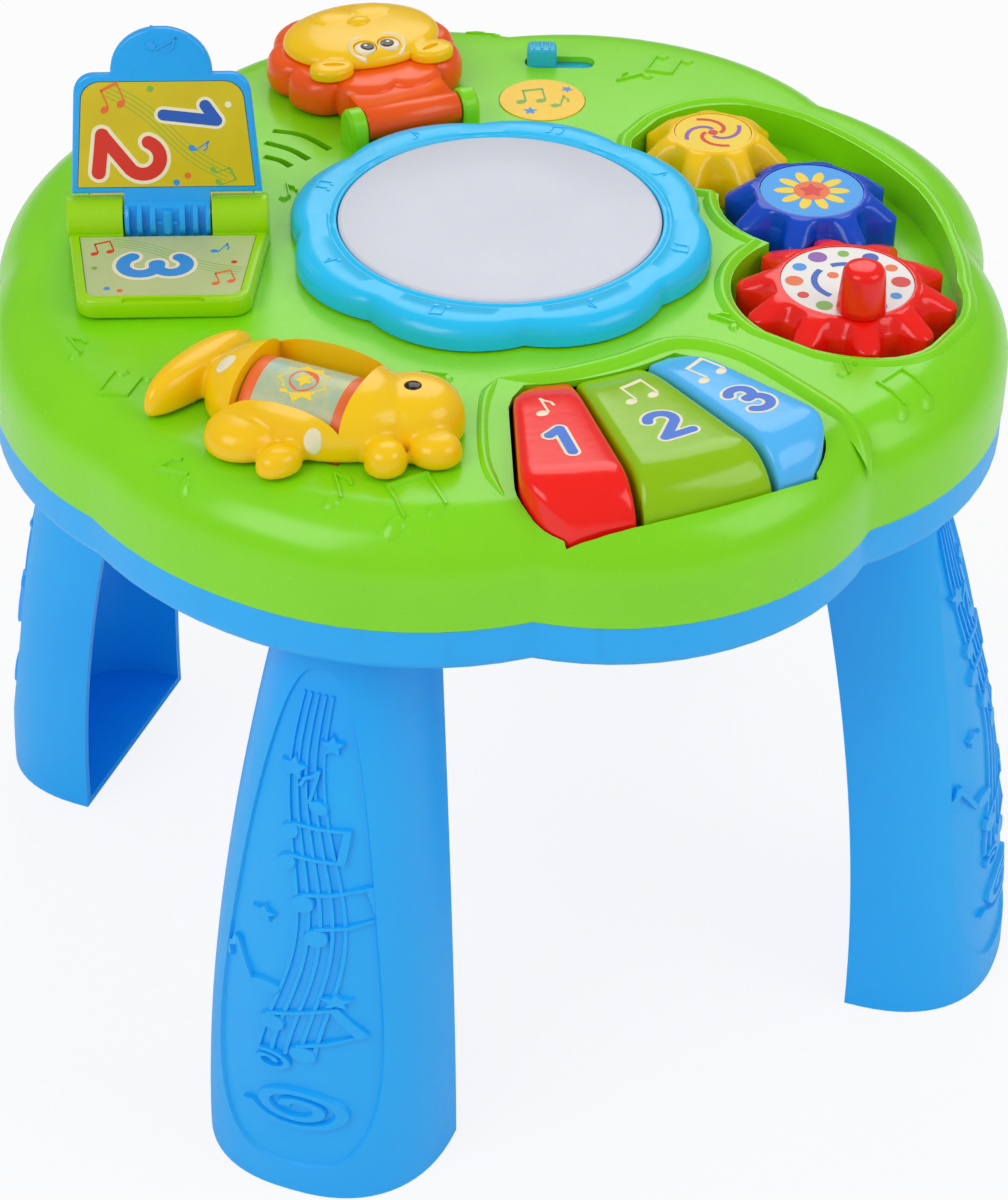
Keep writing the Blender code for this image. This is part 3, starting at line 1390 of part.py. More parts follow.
bodyX = animalHalfLength * 0.27
addLump(animal, bodyX, animalRadius - animalHalfWidth * 0.04, animalHalfLength, animalHalfWidth, 0.0, animalCrest, 24)
animalBody = addPiece("animal_body", animal, yellow, 0.25, parent=animalEmpty)
# Each lump: name, place across and along, half sizes, height, then turn and sides
lumpShares = (
    ("head", -0.62, -0.38, 0.46, 0.66, 0.80),
    ("snout", -0.98, 0.12, 0.24, 0.34, 0.42),
    ("front_leg", -0.66, 0.62, 0.19, 0.30, 0.46),
    ("thigh", 0.62, 0.86, 0.36, 0.52, 0.50),
    ("hind_foot", 0.17, 1.22, 0.22, 0.26, 0.38),
    ("tail", 1.42, -0.18, 0.20, 1.08, 0.62),
)
lumpTurns = {"head": 20.0, "snout": 10.0, "front_leg": 0.0, "thigh": 30.0, "hind_foot": 60.0, "tail": -14.0}
lumpSides = {"head": 16, "snout": 10, "front_leg": 10, "thigh": 12, "hind_foot": 10, "tail": 14}
for lumpName, acrossShare, alongShare, halfXShare, halfYShare, riseShare in lumpShares:
    lump = bmesh.new()
    addLump(
        lump,
        animalHalfLength * acrossShare,
        animalRadius + animalHalfWidth * alongShare,
        animalHalfLength * halfXShare,
        animalHalfWidth * halfYShare,
        lumpTurns[lumpName],
        animalCrest * riseShare,
        lumpSides[lumpName],
    )
    join(animalBody, addTool("animal_" + lumpName, lump, animalEmpty))
headShares = lumpShares[0]
eyeX = animalHalfLength * headShares[1]
eyeY = animalRadius + animalHalfWidth * headShares[2]
eyeSeat = animalFloor + animalCrest * headShares[5] - animalEyeDepth
eyeHole = bmesh.new()
addDisc(eyeHole, animalEyeRadius + gap, eyeSeat, eyeSeat + cutOver, 12, eyeX, eyeY)
cut(animalBody, addTool("animal_eye_hole", eyeHole, animalEmpty))
eye = bmesh.new()
eyeRise = animalEyeDepth * 1.4
addTurned(eye, [(animalEyeRadius, eyeSeat + gap), (animalEyeRadius, eyeSeat + animalEyeDepth), (animalEyeRadius * 0.6, eyeSeat + eyeRise)], 12, eyeX, eyeY)
addPiece("animal_eye", eye, black, 0.15, parent=animalEmpty)
window = bmesh.new()
addBox(
    window,
    (rollerShift - rollerHalf - gap * 2, animalRadius - wellHalf, animalFloor - cutOver),
    (rollerShift + rollerHalf + gap * 2, animalRadius + wellHalf, animalFloor + animalCrest + cutOver),
)
cut(animalBody, addTool("roller_window", window, animalEmpty))
notch = bmesh.new()
addBox(
    notch,
    (rollerShift + wayLow, animalRadius - rollerAxle - gap, animalFloor - cutOver),
    (rollerShift + wayHigh, animalRadius + rollerAxle + gap, rollerHeight + rollerAxle + gap),
)
cut(animalBody, addTool("roller_notch", notch, animalEmpty))
rollerEmpty = addEmpty("roller_spin", (rollerShift, animalRadius, rollerHeight))
rollerEmpty.parent = animalEmpty
roller = bmesh.new()
ends = []
tip = rollerHalf + rollerAxleLength
for x, radius in ((-tip, rollerAxle), (-rollerHalf, rollerAxle), (-rollerHalf, rollerRadius), (rollerHalf, rollerRadius), (rollerHalf, rollerAxle), (tip, rollerAxle)):
    ends.append([(x, a, b) for a, b in circle(radius, 20)])
addLoft(roller, ends)
addPiece("roller", roller, paleGreen, 0.25, parent=rollerEmpty)

# Switch knob on its slide plate, the board below it, and the label disc
switchEmpty = addEmpty("switch_slide", (switchPlace[0] - switchTravel / 2, switchPlace[1], switchDeck))
knob = bmesh.new()
knobOutline = roundedBox(switchKnobLength / 2, switchKnobWidth / 2, switchKnobWidth * 0.2)
knobHigh = wall + switchKnobRise
addDome(knob, knobOutline, [(1.0, -gap - switchPlate / 2), (1.0, wall + switchKnobRise * 0.8), (0.85, knobHigh)])
switchKnob = addPiece("switch_knob", knob, cyan, 0.3, parent=switchEmpty)
plate = bmesh.new()
plateHalfY = switchSlotWidth / 2 + switchPlateMargin
addBox(plate, (-switchPlateHalf, -plateHalfY, -gap - switchPlate), (switchPlateHalf, plateHalfY, -gap))
join(switchKnob, addTool("switch_plate", plate, switchEmpty))
switchBoard = bmesh.new()
boardHigh = switchPlateLow - gap * 2
boardHalfX = switchPostShift + postRadius
addBox(
    switchBoard,
    (switchPlace[0] - boardHalfX, switchPlace[1] - plateHalfY, boardHigh - boardThickness),
    (switchPlace[0] + boardHalfX, switchPlace[1] + plateHalfY, boardHigh),
)
addPiece("switch_board", switchBoard, boardGreen, 0.5)
label = bmesh.new()
addDisc(label, labelRadius, labelDeck - labelThickness + gap, labelDeck + gap, 24, *labelPlace)
addPiece("label_disc", label, yellow, 0.3)
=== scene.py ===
import json
import math

import bmesh
import bpy
from mathutils import Matrix, Vector
from mathutils.bvhtree import BVHTree

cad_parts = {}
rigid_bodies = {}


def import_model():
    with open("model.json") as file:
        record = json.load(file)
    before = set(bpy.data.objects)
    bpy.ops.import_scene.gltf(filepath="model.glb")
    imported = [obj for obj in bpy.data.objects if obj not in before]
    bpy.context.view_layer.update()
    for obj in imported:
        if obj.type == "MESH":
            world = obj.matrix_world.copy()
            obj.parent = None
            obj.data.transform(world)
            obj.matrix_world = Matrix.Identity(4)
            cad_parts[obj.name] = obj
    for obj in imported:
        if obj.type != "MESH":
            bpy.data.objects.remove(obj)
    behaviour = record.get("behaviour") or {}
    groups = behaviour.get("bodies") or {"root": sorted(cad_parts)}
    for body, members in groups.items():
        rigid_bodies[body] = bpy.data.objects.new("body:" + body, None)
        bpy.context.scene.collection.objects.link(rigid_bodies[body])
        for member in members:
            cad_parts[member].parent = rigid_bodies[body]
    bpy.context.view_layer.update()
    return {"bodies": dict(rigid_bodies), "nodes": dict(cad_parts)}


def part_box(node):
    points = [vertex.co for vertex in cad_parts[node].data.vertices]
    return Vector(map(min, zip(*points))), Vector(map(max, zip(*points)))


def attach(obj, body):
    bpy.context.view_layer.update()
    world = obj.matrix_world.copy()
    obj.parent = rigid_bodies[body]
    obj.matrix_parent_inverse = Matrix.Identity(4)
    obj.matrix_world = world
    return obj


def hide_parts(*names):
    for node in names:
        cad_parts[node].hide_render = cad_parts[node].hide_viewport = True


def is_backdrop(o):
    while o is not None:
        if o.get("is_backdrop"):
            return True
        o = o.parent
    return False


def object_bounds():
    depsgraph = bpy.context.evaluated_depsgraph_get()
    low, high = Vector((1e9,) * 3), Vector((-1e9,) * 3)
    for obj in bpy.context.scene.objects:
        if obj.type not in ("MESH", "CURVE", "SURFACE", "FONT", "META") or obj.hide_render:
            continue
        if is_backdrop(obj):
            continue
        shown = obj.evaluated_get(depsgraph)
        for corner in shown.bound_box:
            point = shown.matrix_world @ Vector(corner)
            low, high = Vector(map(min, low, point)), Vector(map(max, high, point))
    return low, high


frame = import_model()
nodes = frame["nodes"]
scene = bpy.context.scene
for spare in [
    thing for thing in bpy.data.objects if thing not in [*nodes.values(), *frame["bodies"].values()]
]:
    bpy.data.objects.remove(spare)
scene.view_settings.view_transform = "Standard"
print("frame loaded:", len(nodes), "nodes")


# colours are written as sRGB hex and turned to linear here
def linear(code):
    values = []
    for start in (0, 2, 4):
        value = int(code[start:start + 2], 16) / 255
        values.append(value / 12.92 if value <= 0.04045 else ((value + 0.055) / 1.055) ** 2.4)
    return (*values, 1.0)


def addNode(tree, kind, settings=None, links=()):
    node = tree.nodes.new(kind)
    for key, value in (settings or {}).items():
        if isinstance(key, str) and hasattr(node, key):
            setattr(node, key, value)
        else:
            node.inputs[key].default_value = value
    for source, output, target in links:
        tree.links.new(source.outputs[output], node.inputs[target])
    return node


def finish(name, look):
    # base: a skin whose colour drifts a little, with a fine grain in its bump and gloss
    material = bpy.data.materials.new(name)
    material.use_nodes = True
    tree = material.node_tree
    shader = tree.nodes["Principled BSDF"]
    for socket, value in look.get("sockets", {}).items():
        shader.inputs[socket].default_value = value
    low, high = look["roughness"]
    place = addNode(tree, "ShaderNodeTexCoord")
    drift = addNode(
        tree, "ShaderNodeTexNoise", {"Scale": look.get("driftScale", 22.0), "Detail": 2.0},
        ((place, "Object", "Vector"),),
    )
    colour = addNode(
        tree, "ShaderNodeMix", {"data_type": "RGBA", 6: linear(look["dark"]), 7: linear(look["light"])},
        ((drift, 0, 0),),
    )
    grain = addNode(
        tree, "ShaderNodeTexNoise", {"Scale": look["grain"], "Detail": 3.0},
        ((place, "Object", "Vector"),),
    )
    gloss = addNode(
        tree, "ShaderNodeMapRange", {"From Min": 0.3, "From Max": 0.7, "To Min": low, "To Max": high},
        ((grain, 0, 0),),
    )
    bump = addNode(
        tree, "ShaderNodeBump", {"Strength": look["bump"], "Distance": look["depth"]},
        ((grain, 0, "Height"),),
    )
    tree.links.new(colour.outputs[2], shader.inputs["Base Color"])
    tree.links.new(gloss.outputs[0], shader.inputs["Roughness"])
    tree.links.new(bump.outputs[0], shader.inputs["Normal"])
    return material


# glossy injection-moulded ABS: clean colour, IOR 1.53, a faint orange peel about 3 mm across
def glossyPlastic(name, dark, light, roughness=(0.16, 0.24), subsurface=0.0):
    sockets = {"IOR": 1.53, "Subsurface Weight": subsurface, "Subsurface Scale": 0.004}
    return finish(
        name,
        {
            "dark": dark, "light": light, "roughness": roughness, "grain": 330.0, "bump": 0.10,
            "depth": 0.0004, "sockets": sockets,
        },
    )


# gloss-laminated printed paper: even ink, a slight sheen, paper fibre near 0.5 mm
def printedCard(name, dark, light):
    return finish(
        name,
        {
            "dark": dark, "light": light, "roughness": (0.30, 0.40), "grain": 1900.0, "bump": 0.05,
            "depth": 0.0001, "driftScale": 60.0, "sockets": {"IOR": 1.49},
        },
    )


# zinc-plated steel: bright, with fine drawn marks
def platedSteel(name):
    return finish(
        name,
        {
            "dark": "9fa3a8", "light": "b9bdc2", "roughness": (0.25, 0.4), "grain": 2500.0, "bump": 0.2,
            "depth": 0.00005, "sockets": {"Metallic": 1.0},
        },
    )


# silicone rubber: matt, slightly dusty
def dustyRubber(name, dark, light):
    return finish(
        name,
        {
            "dark": dark, "light": light, "roughness": (0.6, 0.8), "grain": 1500.0, "bump": 0.2,
            "depth": 0.0001, "sockets": {"IOR": 1.41},
        },
    )


finishes = {
    "greenDeck": glossyPlastic("glossy_moulded_abs_green", "7fdc08", "8be612", (0.20, 0.28), 0.05),
    "blueShell": glossyPlastic("satin_moulded_pp_blue", "02acff", "10b4ff", (0.34, 0.44), 0.05),
    "cyanRing": glossyPlastic("glossy_moulded_abs_cyan", "14c4ff", "22ccff", (0.20, 0.27), 0.05),
    "milkyPad": glossyPlastic("milky_moulded_polystyrene", "cfd3df", "dadde8", (0.30, 0.38), 0.15),
    "redKey": glossyPlastic("glossy_moulded_abs_red", "fb160c", "ff2014", (0.13, 0.20)),
    "limeKey": glossyPlastic("glossy_moulded_abs_lime", "8cc200", "98cc00", (0.13, 0.20)),
    "skyKey": glossyPlastic("glossy_moulded_abs_sky_blue", "4cb8ff", "5ac2ff", (0.13, 0.20)),
    "deepBlue": glossyPlastic("glossy_moulded_abs_deep_blue", "0444c4", "084ed2", (0.16, 0.24)),
    "sunYellow": glossyPlastic("glossy_moulded_abs_yellow", "fdc600", "ffd206", (0.18, 0.26), 0.05),
    "maneOrange": glossyPlastic("glossy_moulded_abs_orange", "fb5404", "ff6210", (0.20, 0.27), 0.05),
    "bookLime": glossyPlastic("glossy_moulded_abs_book_lime", "98d800", "a4e206", (0.20, 0.28)),
    "leafBlue": glossyPlastic("glossy_moulded_abs_leaf_blue", "18a4f8", "26b0fc", (0.20, 0.28)),
    "switchCyan": glossyPlastic("glossy_moulded_abs_switch_cyan", "1fb2d6", "2bbcde", (0.22, 0.3)),
    "goldCard": printedCard("printed_gold_card", "d2b80e", "e2cc20"),
    "paleCard": printedCard("printed_pale_green_card", "b9c98a", "c8d69c"),
    "whiteCard": printedCard("printed_white_disc", "ece9e4", "f6f4f0"),
    # cream print ink; on the lying animal's body the same cream also makes painted highlights
    "creamInk": printedCard("printed_cream_ink", "f4e9c4", "faf1d4"),
    "skyCard": printedCard("printed_sky_disc", "2e9cf0", "3aa8f6"),
    "skyMist": finish(
        "printed_misty_sky_film",
        {
            "dark": "6fb5c4", "light": "e6d873", "roughness": (0.22, 0.3), "grain": 1900.0, "bump": 0.03,
            "depth": 0.0001, "driftScale": 130.0,
        },
    ),
    "redInk": printedCard("printed_red_ink", "dd2a1e", "e6352a"),
    "blueInk": printedCard("printed_blue_ink", "1f56be", "2a62c8"),
    "keyInk": printedCard("printed_key_blue_ink", "3672dc", "427de2"),
    "skyInk": printedCard("printed_sky_ink", "2b8fe6", "369bec"),
    "yellowInk": printedCard("printed_yellow_ink", "f6d21c", "fbdc32"),
    "orangeInk": printedCard("printed_orange_ink", "ee6a2a", "f57638"),
    "purpleInk": printedCard("printed_purple_ink", "8a4fae", "955abb"),
    "greenInk": printedCard("printed_green_ink", "7cb342", "88be4e"),
    "inkBlack": glossyPlastic("glossy_printed_black_eye", "17120f", "241a14", (0.08, 0.14)),
    "brownInk": printedCard("printed_brown_ink", "5a2f14", "66381a"),
    "blackPlastic": glossyPlastic("matt_moulded_black_abs", "141414", "1c1c1c", (0.4, 0.5)),
    "steel": platedSteel("zinc_plated_steel"),
    "rubber": dustyRubber("moulded_grey_silicone_rubber", "8e9094", "9a9ca0"),
    "board": printedCard("green_glass_epoxy_board", "14532b", "1b6135"),
    "cell": printedCard("shrink_wrapped_cell_sleeve", "23262c", "2c3038"),
}
print("finishes made:", len(finishes))

# the part's own sizes, in metres
table = {
    "radius": 0.1833, "height": 0.2775, "fall": 0.0015, "corner": 0.022, "parting": 0.238, "rim": 0.017,
    "tuck": 0.005,
    "notches": (4, 46, 93, 132, 179, 222.5, 273, 311),
    "depths": (0.060, 0.060, 0.050, 0.056, 0.058, 0.045, 0.026, 0.026),
    "wall": 0.0025, "gap": 0.0003, "steps": 16,
}


def direction(angle):
    return math.sin(math.radians(angle)), -math.cos(math.radians(angle))


def polar(angle, radius):
    across, along = direction(angle)
    return radius * across, radius * along


def stationMatrix(angle):
    # a station's own +Y points away from the middle of the table
    return Matrix.Rotation(math.radians(angle + 180), 4, "Z")


def lobedRadius(angle, fade=1.0):
    edges = list(table["notches"]) + [table["notches"][0] + 360]
    depths = list(table["depths"]) + [table["depths"][0]]
    angle = (angle - edges[0]) % 360 + edges[0]
    for index in range(8):
        if edges[index] <= angle <= edges[index + 1]:
            share = (angle - edges[index]) / (edges[index + 1] - edges[index])
            depth = depths[index] if share < 0.5 else depths[index + 1]
            return table["radius"] * (1 - depth * fade * (2 * share - 1) ** 2)
    return table["radius"]


def deckLevel(radius):
    share = min(1.0, radius / (table["radius"] - table["corner"]))
    return table["height"] - table["fall"] * share * share


def deckSurface(x, y):
    # height of the deck's skin at a point
    radius = math.hypot(x, y)
    edge = lobedRadius(math.degrees(math.atan2(x, -y)), 0.8) - table["corner"]
    if radius <= edge:
        return deckLevel(radius)
    off = min(1.0, (radius - edge) / table["corner"])
    return table["height"] - table["fall"] - table["corner"] * (1 - math.sqrt(1 - off * off))


# mesh helpers
def circle(radius, sides, x=0.0, y=0.0):
    turns = [math.tau * step / sides for step in range(sides)]
    return [(x + radius * math.cos(turn), y + radius * math.sin(turn)) for turn in turns]


def ellipse(halfX, halfY, sides, x=0.0, y=0.0, turn=0.0):
    c, s = math.cos(math.radians(turn)), math.sin(math.radians(turn))
    return [
        (x + a * halfX * c - b * halfY * s, y + a * halfX * s + b * halfY * c)
        for a, b in circle(1.0, sides)
    ]


def roundedBox(halfX, halfY, corner, x=0.0, y=0.0, steps=6):
    points = []
    for quarter, (sideX, sideY) in enumerate(((1, 1), (-1, 1), (-1, -1), (1, -1))):
        for step in range(steps + 1):
            turn = math.pi / 2 * (quarter + step / steps)
            points.append(
                (
                    x + sideX * (halfX - corner) + corner * math.cos(turn),
                    y + sideY * (halfY - corner) + corner * math.sin(turn),
                )
            )
    return points


def rounding(x, y, corner):
    # a quarter turn round a corner's middle
    turns = [math.pi / 2 * step / 8 for step in range(9)]
    return [(x + corner * math.cos(turn), y + corner * math.sin(turn)) for turn in turns]


def level(points, height):
    return [(x, y, height) for x, y in points]


def loft(bm, loops, closed=True, around=False):
    # skins equal loops in turn; around joins the last to the first
    rings = [[bm.verts.new(point) for point in loop] for loop in loops]
    pairs = list(zip(rings, rings[1:])) + ([(rings[-1], rings[0])] if around else [])
    for lower, upper in pairs:
        for step in range(len(lower)):
            bm.faces.new((lower[step - 1], lower[step], upper[step], upper[step - 1]))
    if closed and not around:
        bm.faces.new(rings[0])
        bm.faces.new(rings[-1])
    return bm


def smoothPath(points, steps=5):
    # a smooth run through a few points
    made = []
    last = len(points) - 1
    for index in range(last):
        near = [points[max(index - 1, 0)], points[index], points[index + 1], points[min(index + 2, last)]]
        for step in range(steps):
            t = step / steps
            point = []
            for a, b, c, d in zip(*near):
                value = 2 * b + (c - a) * t + (2 * a - 5 * b + 4 * c - d) * t * t
                point.append(0.5 * (value + (3 * b - a - 3 * c + d) * t ** 3))
            made.append(tuple(point))
    return made + [points[-1]]


def prism(bm, points, low, high):
    return loft(bm, [level(points, low), level(points, high)])


def turned(bm, profile, steps=48, x=0.0, y=0.0, axis="Z"):
    # profile is (radius, height); spun about Z or about X
    if axis == "Z":
        verts = [bm.verts.new((x + radius, y, height)) for radius, height in profile]
        centre, spin = (x, y, 0.0), (0.0, 0.0, 1.0)
    else:
        verts = [bm.verts.new((height, x + radius, y)) for radius, height in profile]
        centre, spin = (0.0, x, y), (1.0, 0.0, 0.0)
    edges = [bm.edges.new(pair) for pair in zip(verts, verts[1:])]
    bmesh.ops.spin(
        bm, geom=verts + edges, cent=centre, axis=spin, angle=math.tau, steps=steps, use_merge=True,
    )
    ends = [edge for edge in bm.edges if edge.is_boundary]
    if ends:
        bmesh.ops.holes_fill(bm, edges=ends, sides=0)
    return bm


def box(bm, low, high):
    return prism(
        bm, [(low[0], low[1]), (high[0], low[1]), (high[0], high[1]), (low[0], high[1])], low[2], high[2],
    )


def carve(bm, tool, operation="DIFFERENCE"):
    # cuts one closed shape out of another, or joins the two
    pair = []
    for shape in (bm, tool):
        bmesh.ops.recalc_face_normals(shape, faces=shape.faces)
        mesh = bpy.data.meshes.new("carving")
        shape.to_mesh(mesh)
        shape.free()
        pair.append(bpy.data.objects.new("carving", mesh))
        scene.collection.objects.link(pair[-1])
    change = pair[0].modifiers.new("carve", "BOOLEAN")
    change.operation = operation
    change.object = pair[1]
    change.solver = "EXACT"
    result = bmesh.new()
    result.from_mesh(pair[0].evaluated_get(bpy.context.evaluated_depsgraph_get()).data)
    for thing in pair:
        bpy.data.meshes.remove(thing.data)
    return result


def fuse(bm, other):
    # puts a second closed shape into the same mesh
    carrier = bpy.data.meshes.new("carrier")
    other.to_mesh(carrier)
    other.free()
    bm.from_mesh(carrier)
    bpy.data.meshes.remove(carrier)
    return bm


def drill(bm, radius, half, y=0.0, z=0.0):
    # a round hole along X
    return carve(bm, turned(bmesh.new(), [(radius, -half), (radius, half)], 24, y, z, "X"))


def domed(halfX, halfY, sides, x, y, turn, low, deep, profile, bm=None):
    # an oval dome; the profile is (share of its size, share of its height)
    loops = []
    for share, height in profile:
        loops.append(level(ellipse(halfX * share, halfY * share, sides, x, y, turn), low + deep * height))
    return loft(bmesh.new() if bm is None else bm, loops)


def makePiece(name, bm, materials, body, stands=(), place=None, smooth=38.0):
    if place is not None:
        bmesh.ops.transform(bm, matrix=place, verts=bm.verts)
    bmesh.ops.remove_doubles(bm, verts=bm.verts, dist=0.000001)
    bmesh.ops.recalc_face_normals(bm, faces=bm.faces)
    mesh = bpy.data.meshes.new(name)
    bm.to_mesh(mesh)
    bm.free()
    mesh.shade_smooth()
    mesh.set_sharp_from_angle(angle=math.radians(smooth))
    for material in materials:
        mesh.materials.append(finishes[material])
    piece = bpy.data.objects.new(name, mesh)
    scene.collection.objects.link(piece)
    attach(piece, body)
    if stands:
        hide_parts(*stands)
    return piece


# raised and printed marks: a surface is a function of (u, v, rise) that gives a point
def ribbon(bm, surface, path, width, low, high, material=0, taper=0.7):
    before = set(bm.faces)
    loops = []
    for index, (u, v) in enumerate(path):
        ahead = path[min(index + 1, len(path) - 1)]
        behind = path[max(index - 1, 0)]
        du, dv = ahead[0] - behind[0], ahead[1] - behind[1]
        size = math.hypot(du, dv) or 1.0
        nu, nv = -dv / size * width / 2, du / size * width / 2
        section = [(-1, low), (-taper, high), (taper, high), (1, low)]
        loops.append([surface(u + nu * side, v + nv * side, rise) for side, rise in section])
    loft(bm, loops)
    for face in set(bm.faces) - before:
        face.material_index = material


def blob(bm, surface, points, low, high, material=0, taper=0.85):
    before = set(bm.faces)
    centreU = sum(u for u, v in points) / len(points)
    centreV = sum(v for u, v in points) / len(points)
    loops = []
    for share, rise in ((1.0, low), (taper, high)):
        loops.append(
            [
                surface(centreU + (u - centreU) * share, centreV + (v - centreV) * share, rise)
                for u, v in points
            ]
        )
    loft(bm, loops)
    for face in set(bm.faces) - before:
        face.material_index = material


def note(bm, surface, u, v, size, turn, low, high, kind=1, material=0, taper=0.85):
    # a plain musical note: one or two heads, stems, and a flag or a beam
    c, s = math.cos(math.radians(turn)), math.sin(math.radians(turn))

    def place(points):
        return [(u + (a * c - b * s) * size, v + (a * s + b * c) * size) for a, b in points]

    heads = (0.0,) if kind == 1 else (0.0, 1.0)
    for shift in heads:
        blob(bm, surface, place(ellipse(0.30, 0.23, 14, shift, 0.0, 20)), low, high, material, taper)
        ribbon(
            bm, surface, place([(shift + 0.26, 0.05), (shift + 0.26, 0.6), (shift + 0.26, 1.2)]),
            size * 0.11, low, high, material, taper,
        )
    if kind == 1:
        ribbon(
            bm, surface, place([(0.24, 1.2), (0.38, 0.95), (0.58, 0.8), (0.62, 0.5)]), size * 0.13, low,
            high, material, taper,
        )
    else:
        ribbon(
            bm, surface, place([(0.22, 1.13), (0.76, 1.2), (1.3, 1.27)]), size * 0.2, low, high, material,
            taper,
        )


# printed marks: their foot lies in the skin below, and their top just over it
printFoot, inkHigh, printTaper = -0.0002, 0.00006, 0.98


def inked(bm, surface, points, high, material, taper=printTaper):
    blob(bm, surface, points, printFoot, high, material, taper)


def inkLine(bm, surface, path, width, high, material, taper=printTaper):
    ribbon(bm, surface, path, width, printFoot, high, material, taper)


def star(points, outer, inner, u=0.0, v=0.0, turn=0.0):
    made = []
    for step in range(points * 2):
        angle = math.radians(turn) + math.pi * step / points
        radius = outer if step % 2 == 0 else inner
        made.append((u + radius * math.cos(angle), v + radius * math.sin(angle)))
    return made


def arc(radius, start, end, u=0.0, v=0.0, steps=10, grow=0.0):
    path = []
    for step in range(steps + 1):
        angle = math.radians(start + (end - start) * step / steps)
        reach = radius + grow * step / steps
        path.append((u + reach * math.cos(angle), v + reach * math.sin(angle)))
    return path


# deck: the lobed green shell with its wells, lips and raised notes
gearTeeth = {"gear_red": 10, "gear_blue": 8, "gear_yellow": 7}
gears = {
    "module": 0.00341, "place": (0.1205, -0.0310), "lines": (97.6, 131.6),
    "reach": (-1.41, 0.0, 0.82, 1.23), "width": (1.76, 1.41, 1.10, 0.50),
    "wall": 0.0125, "rise": {"gear_red": 0.0052, "gear_blue": 0.0062, "gear_yellow": 0.0085},
    "crown": {"gear_red": 0.0250, "gear_blue": 0.0205, "gear_yellow": 0.0160}, "rim": 0.0016,
    "recess": 0.0012, "shell": 0.0028,
    "axle": 0.0045, "axleHeight": 0.0120, "flange": 0.0072, "pocket": 0.0135, "clearance": 0.0020,
    "knobOffset": 0.0193, "knobAngle": -81.0, "knobHole": 0.0034,
    "arcs": ((40, 0.865), (62, 0.880), (85, 0.880), (105, 0.860), (130, 0.800), (150, 0.700)),
    "edge": 0.0007,
    "running": 0.0004,
    "disc": 0.0006,
    "hub": 0.003,
    "screw": 0.0016,
    "dish": 0.0006,
    "shoulder": 0.0010,
    "knobStem": 0.003,
    "knobDome": (
        (0.0086, 0.0010), (0.0084, 0.0030), (0.0075, 0.0138), (0.0072, 0.0155), (0.0064, 0.0168),
        (0.0052, 0.0175), (0.0030, 0.01775), (0.0, 0.0178),
    ),
}
gearNames = list(gearTeeth)
gearFloor = table["height"] - table["fall"] - gears["pocket"]
gearBottom = gearFloor + table["gap"] * 2
gearCentres = {gearNames[0]: gears["place"]}
for before, after, line in zip(gearNames, gearNames[1:], gears["lines"]):
    reach = gears["module"] * (gearTeeth[before] + gearTeeth[after])
    startX, startY = gearCentres[before]
    gearCentres[after] = (
        startX + reach * math.cos(math.radians(line)), startY + reach * math.sin(math.radians(line)),
    )
gearPhases = {
    gearNames[0]: gears["lines"][0],
    gearNames[1]: gears["lines"][0] + 180 + 180 / gearTeeth[gearNames[1]],
}
bluePitch = 360 / gearTeeth[gearNames[1]]
blueTooth = (gears["lines"][1] - gearPhases[gearNames[1]]) / bluePitch
toothLead = (blueTooth - math.floor(blueTooth)) * gearTeeth[gearNames[1]] / gearTeeth[gearNames[2]]
gearPhases[gearNames[2]] = gears["lines"][1] + 180 + 180 / gearTeeth[gearNames[2]] + toothLead * bluePitch


def pocketReach(angle, spread):
    across, along = direction(angle)
    near = far = None
    for name in gearNames:
        x, y = gearCentres[name]
        reach = gears["module"] * (gearTeeth[name] + gears["reach"][-1]) + gears["clearance"] + spread
        middle = x * across + y * along
        off = x * along - y * across
        if middle > 0 and abs(off) < reach:
            half = math.sqrt(reach * reach - off * off)
            near = middle - half if near is None else min(near, middle - half)
            far = middle + half if far is None else max(far, middle + half)
    return near, far


def pocketEdge(spread, steps=48):
    hits = [degree for degree in range(360) if pocketReach(degree, spread)[0] is not None]
    inner, outer = [], []
    first, last = hits[0], hits[-1]
    for step in range(steps + 1):
        angle = (first + last) / 2 - (last - first) / 2 * math.cos(math.pi * step / steps)
        near, far = pocketReach(angle, spread)
        bow = 0.0
        for (low, lowShare), (high, highShare) in zip(gears["arcs"], gears["arcs"][1:]):
            if low <= angle <= high:
                bow = table["radius"] * (
                    lowShare + (highShare - lowShare) * (angle - low) / (high - low)
                ) + spread
        ease = min(1.0, (angle - first) / 14, (last - angle) / 9)
        far = max(far, far + (bow - far) * max(0.0, ease))
        inner.append(polar(angle, near))
        outer.append(polar(angle, far))
    return inner[1:-1] + outer[::-1]


keys = {
    "spans": {"key_red": (2.6, 15.0), "key_lime": (15.9, 31.1), "key_blue": (32.0, 42.0)},
    "inner": 0.0948, "outer": 0.1705, "bottom": 0.262,
    "rear": 0.2790, "top": 0.2850, "bend": 0.1550, "drop": 0.0155, "crown": 0.0016, "clearance": 0.0014,
    "hinge": 0.0880, "hingeHeight": 0.2640,
    "hub": 0.0040, "hubHalf": 0.0045, "pin": 0.00125, "running": 0.0004,
    "web": ((-0.0045, 0.0022, -0.0030), (0.0045, 0.0080, 0.0030)),
    "plunger": 0.1380, "plungerHalf": 0.003, "plungerDrop": 0.0045, "rearDrop": 0.0022,
    "printRadius": 0.128,
}


def keyTop(radius):
    if radius <= keys["bend"]:
        return keys["rear"] + (keys["top"] - keys["rear"]) * (radius - keys["inner"]) / (
            keys["bend"] - keys["inner"]
        )
    share = min(1.0, (radius - keys["bend"]) / (keys["outer"] - keys["bend"]))
    return keys["top"] - keys["drop"] * (
        1 - math.sqrt(1 - 0.97 * share * share)
    ) - 0.25 * keys["crown"] * share


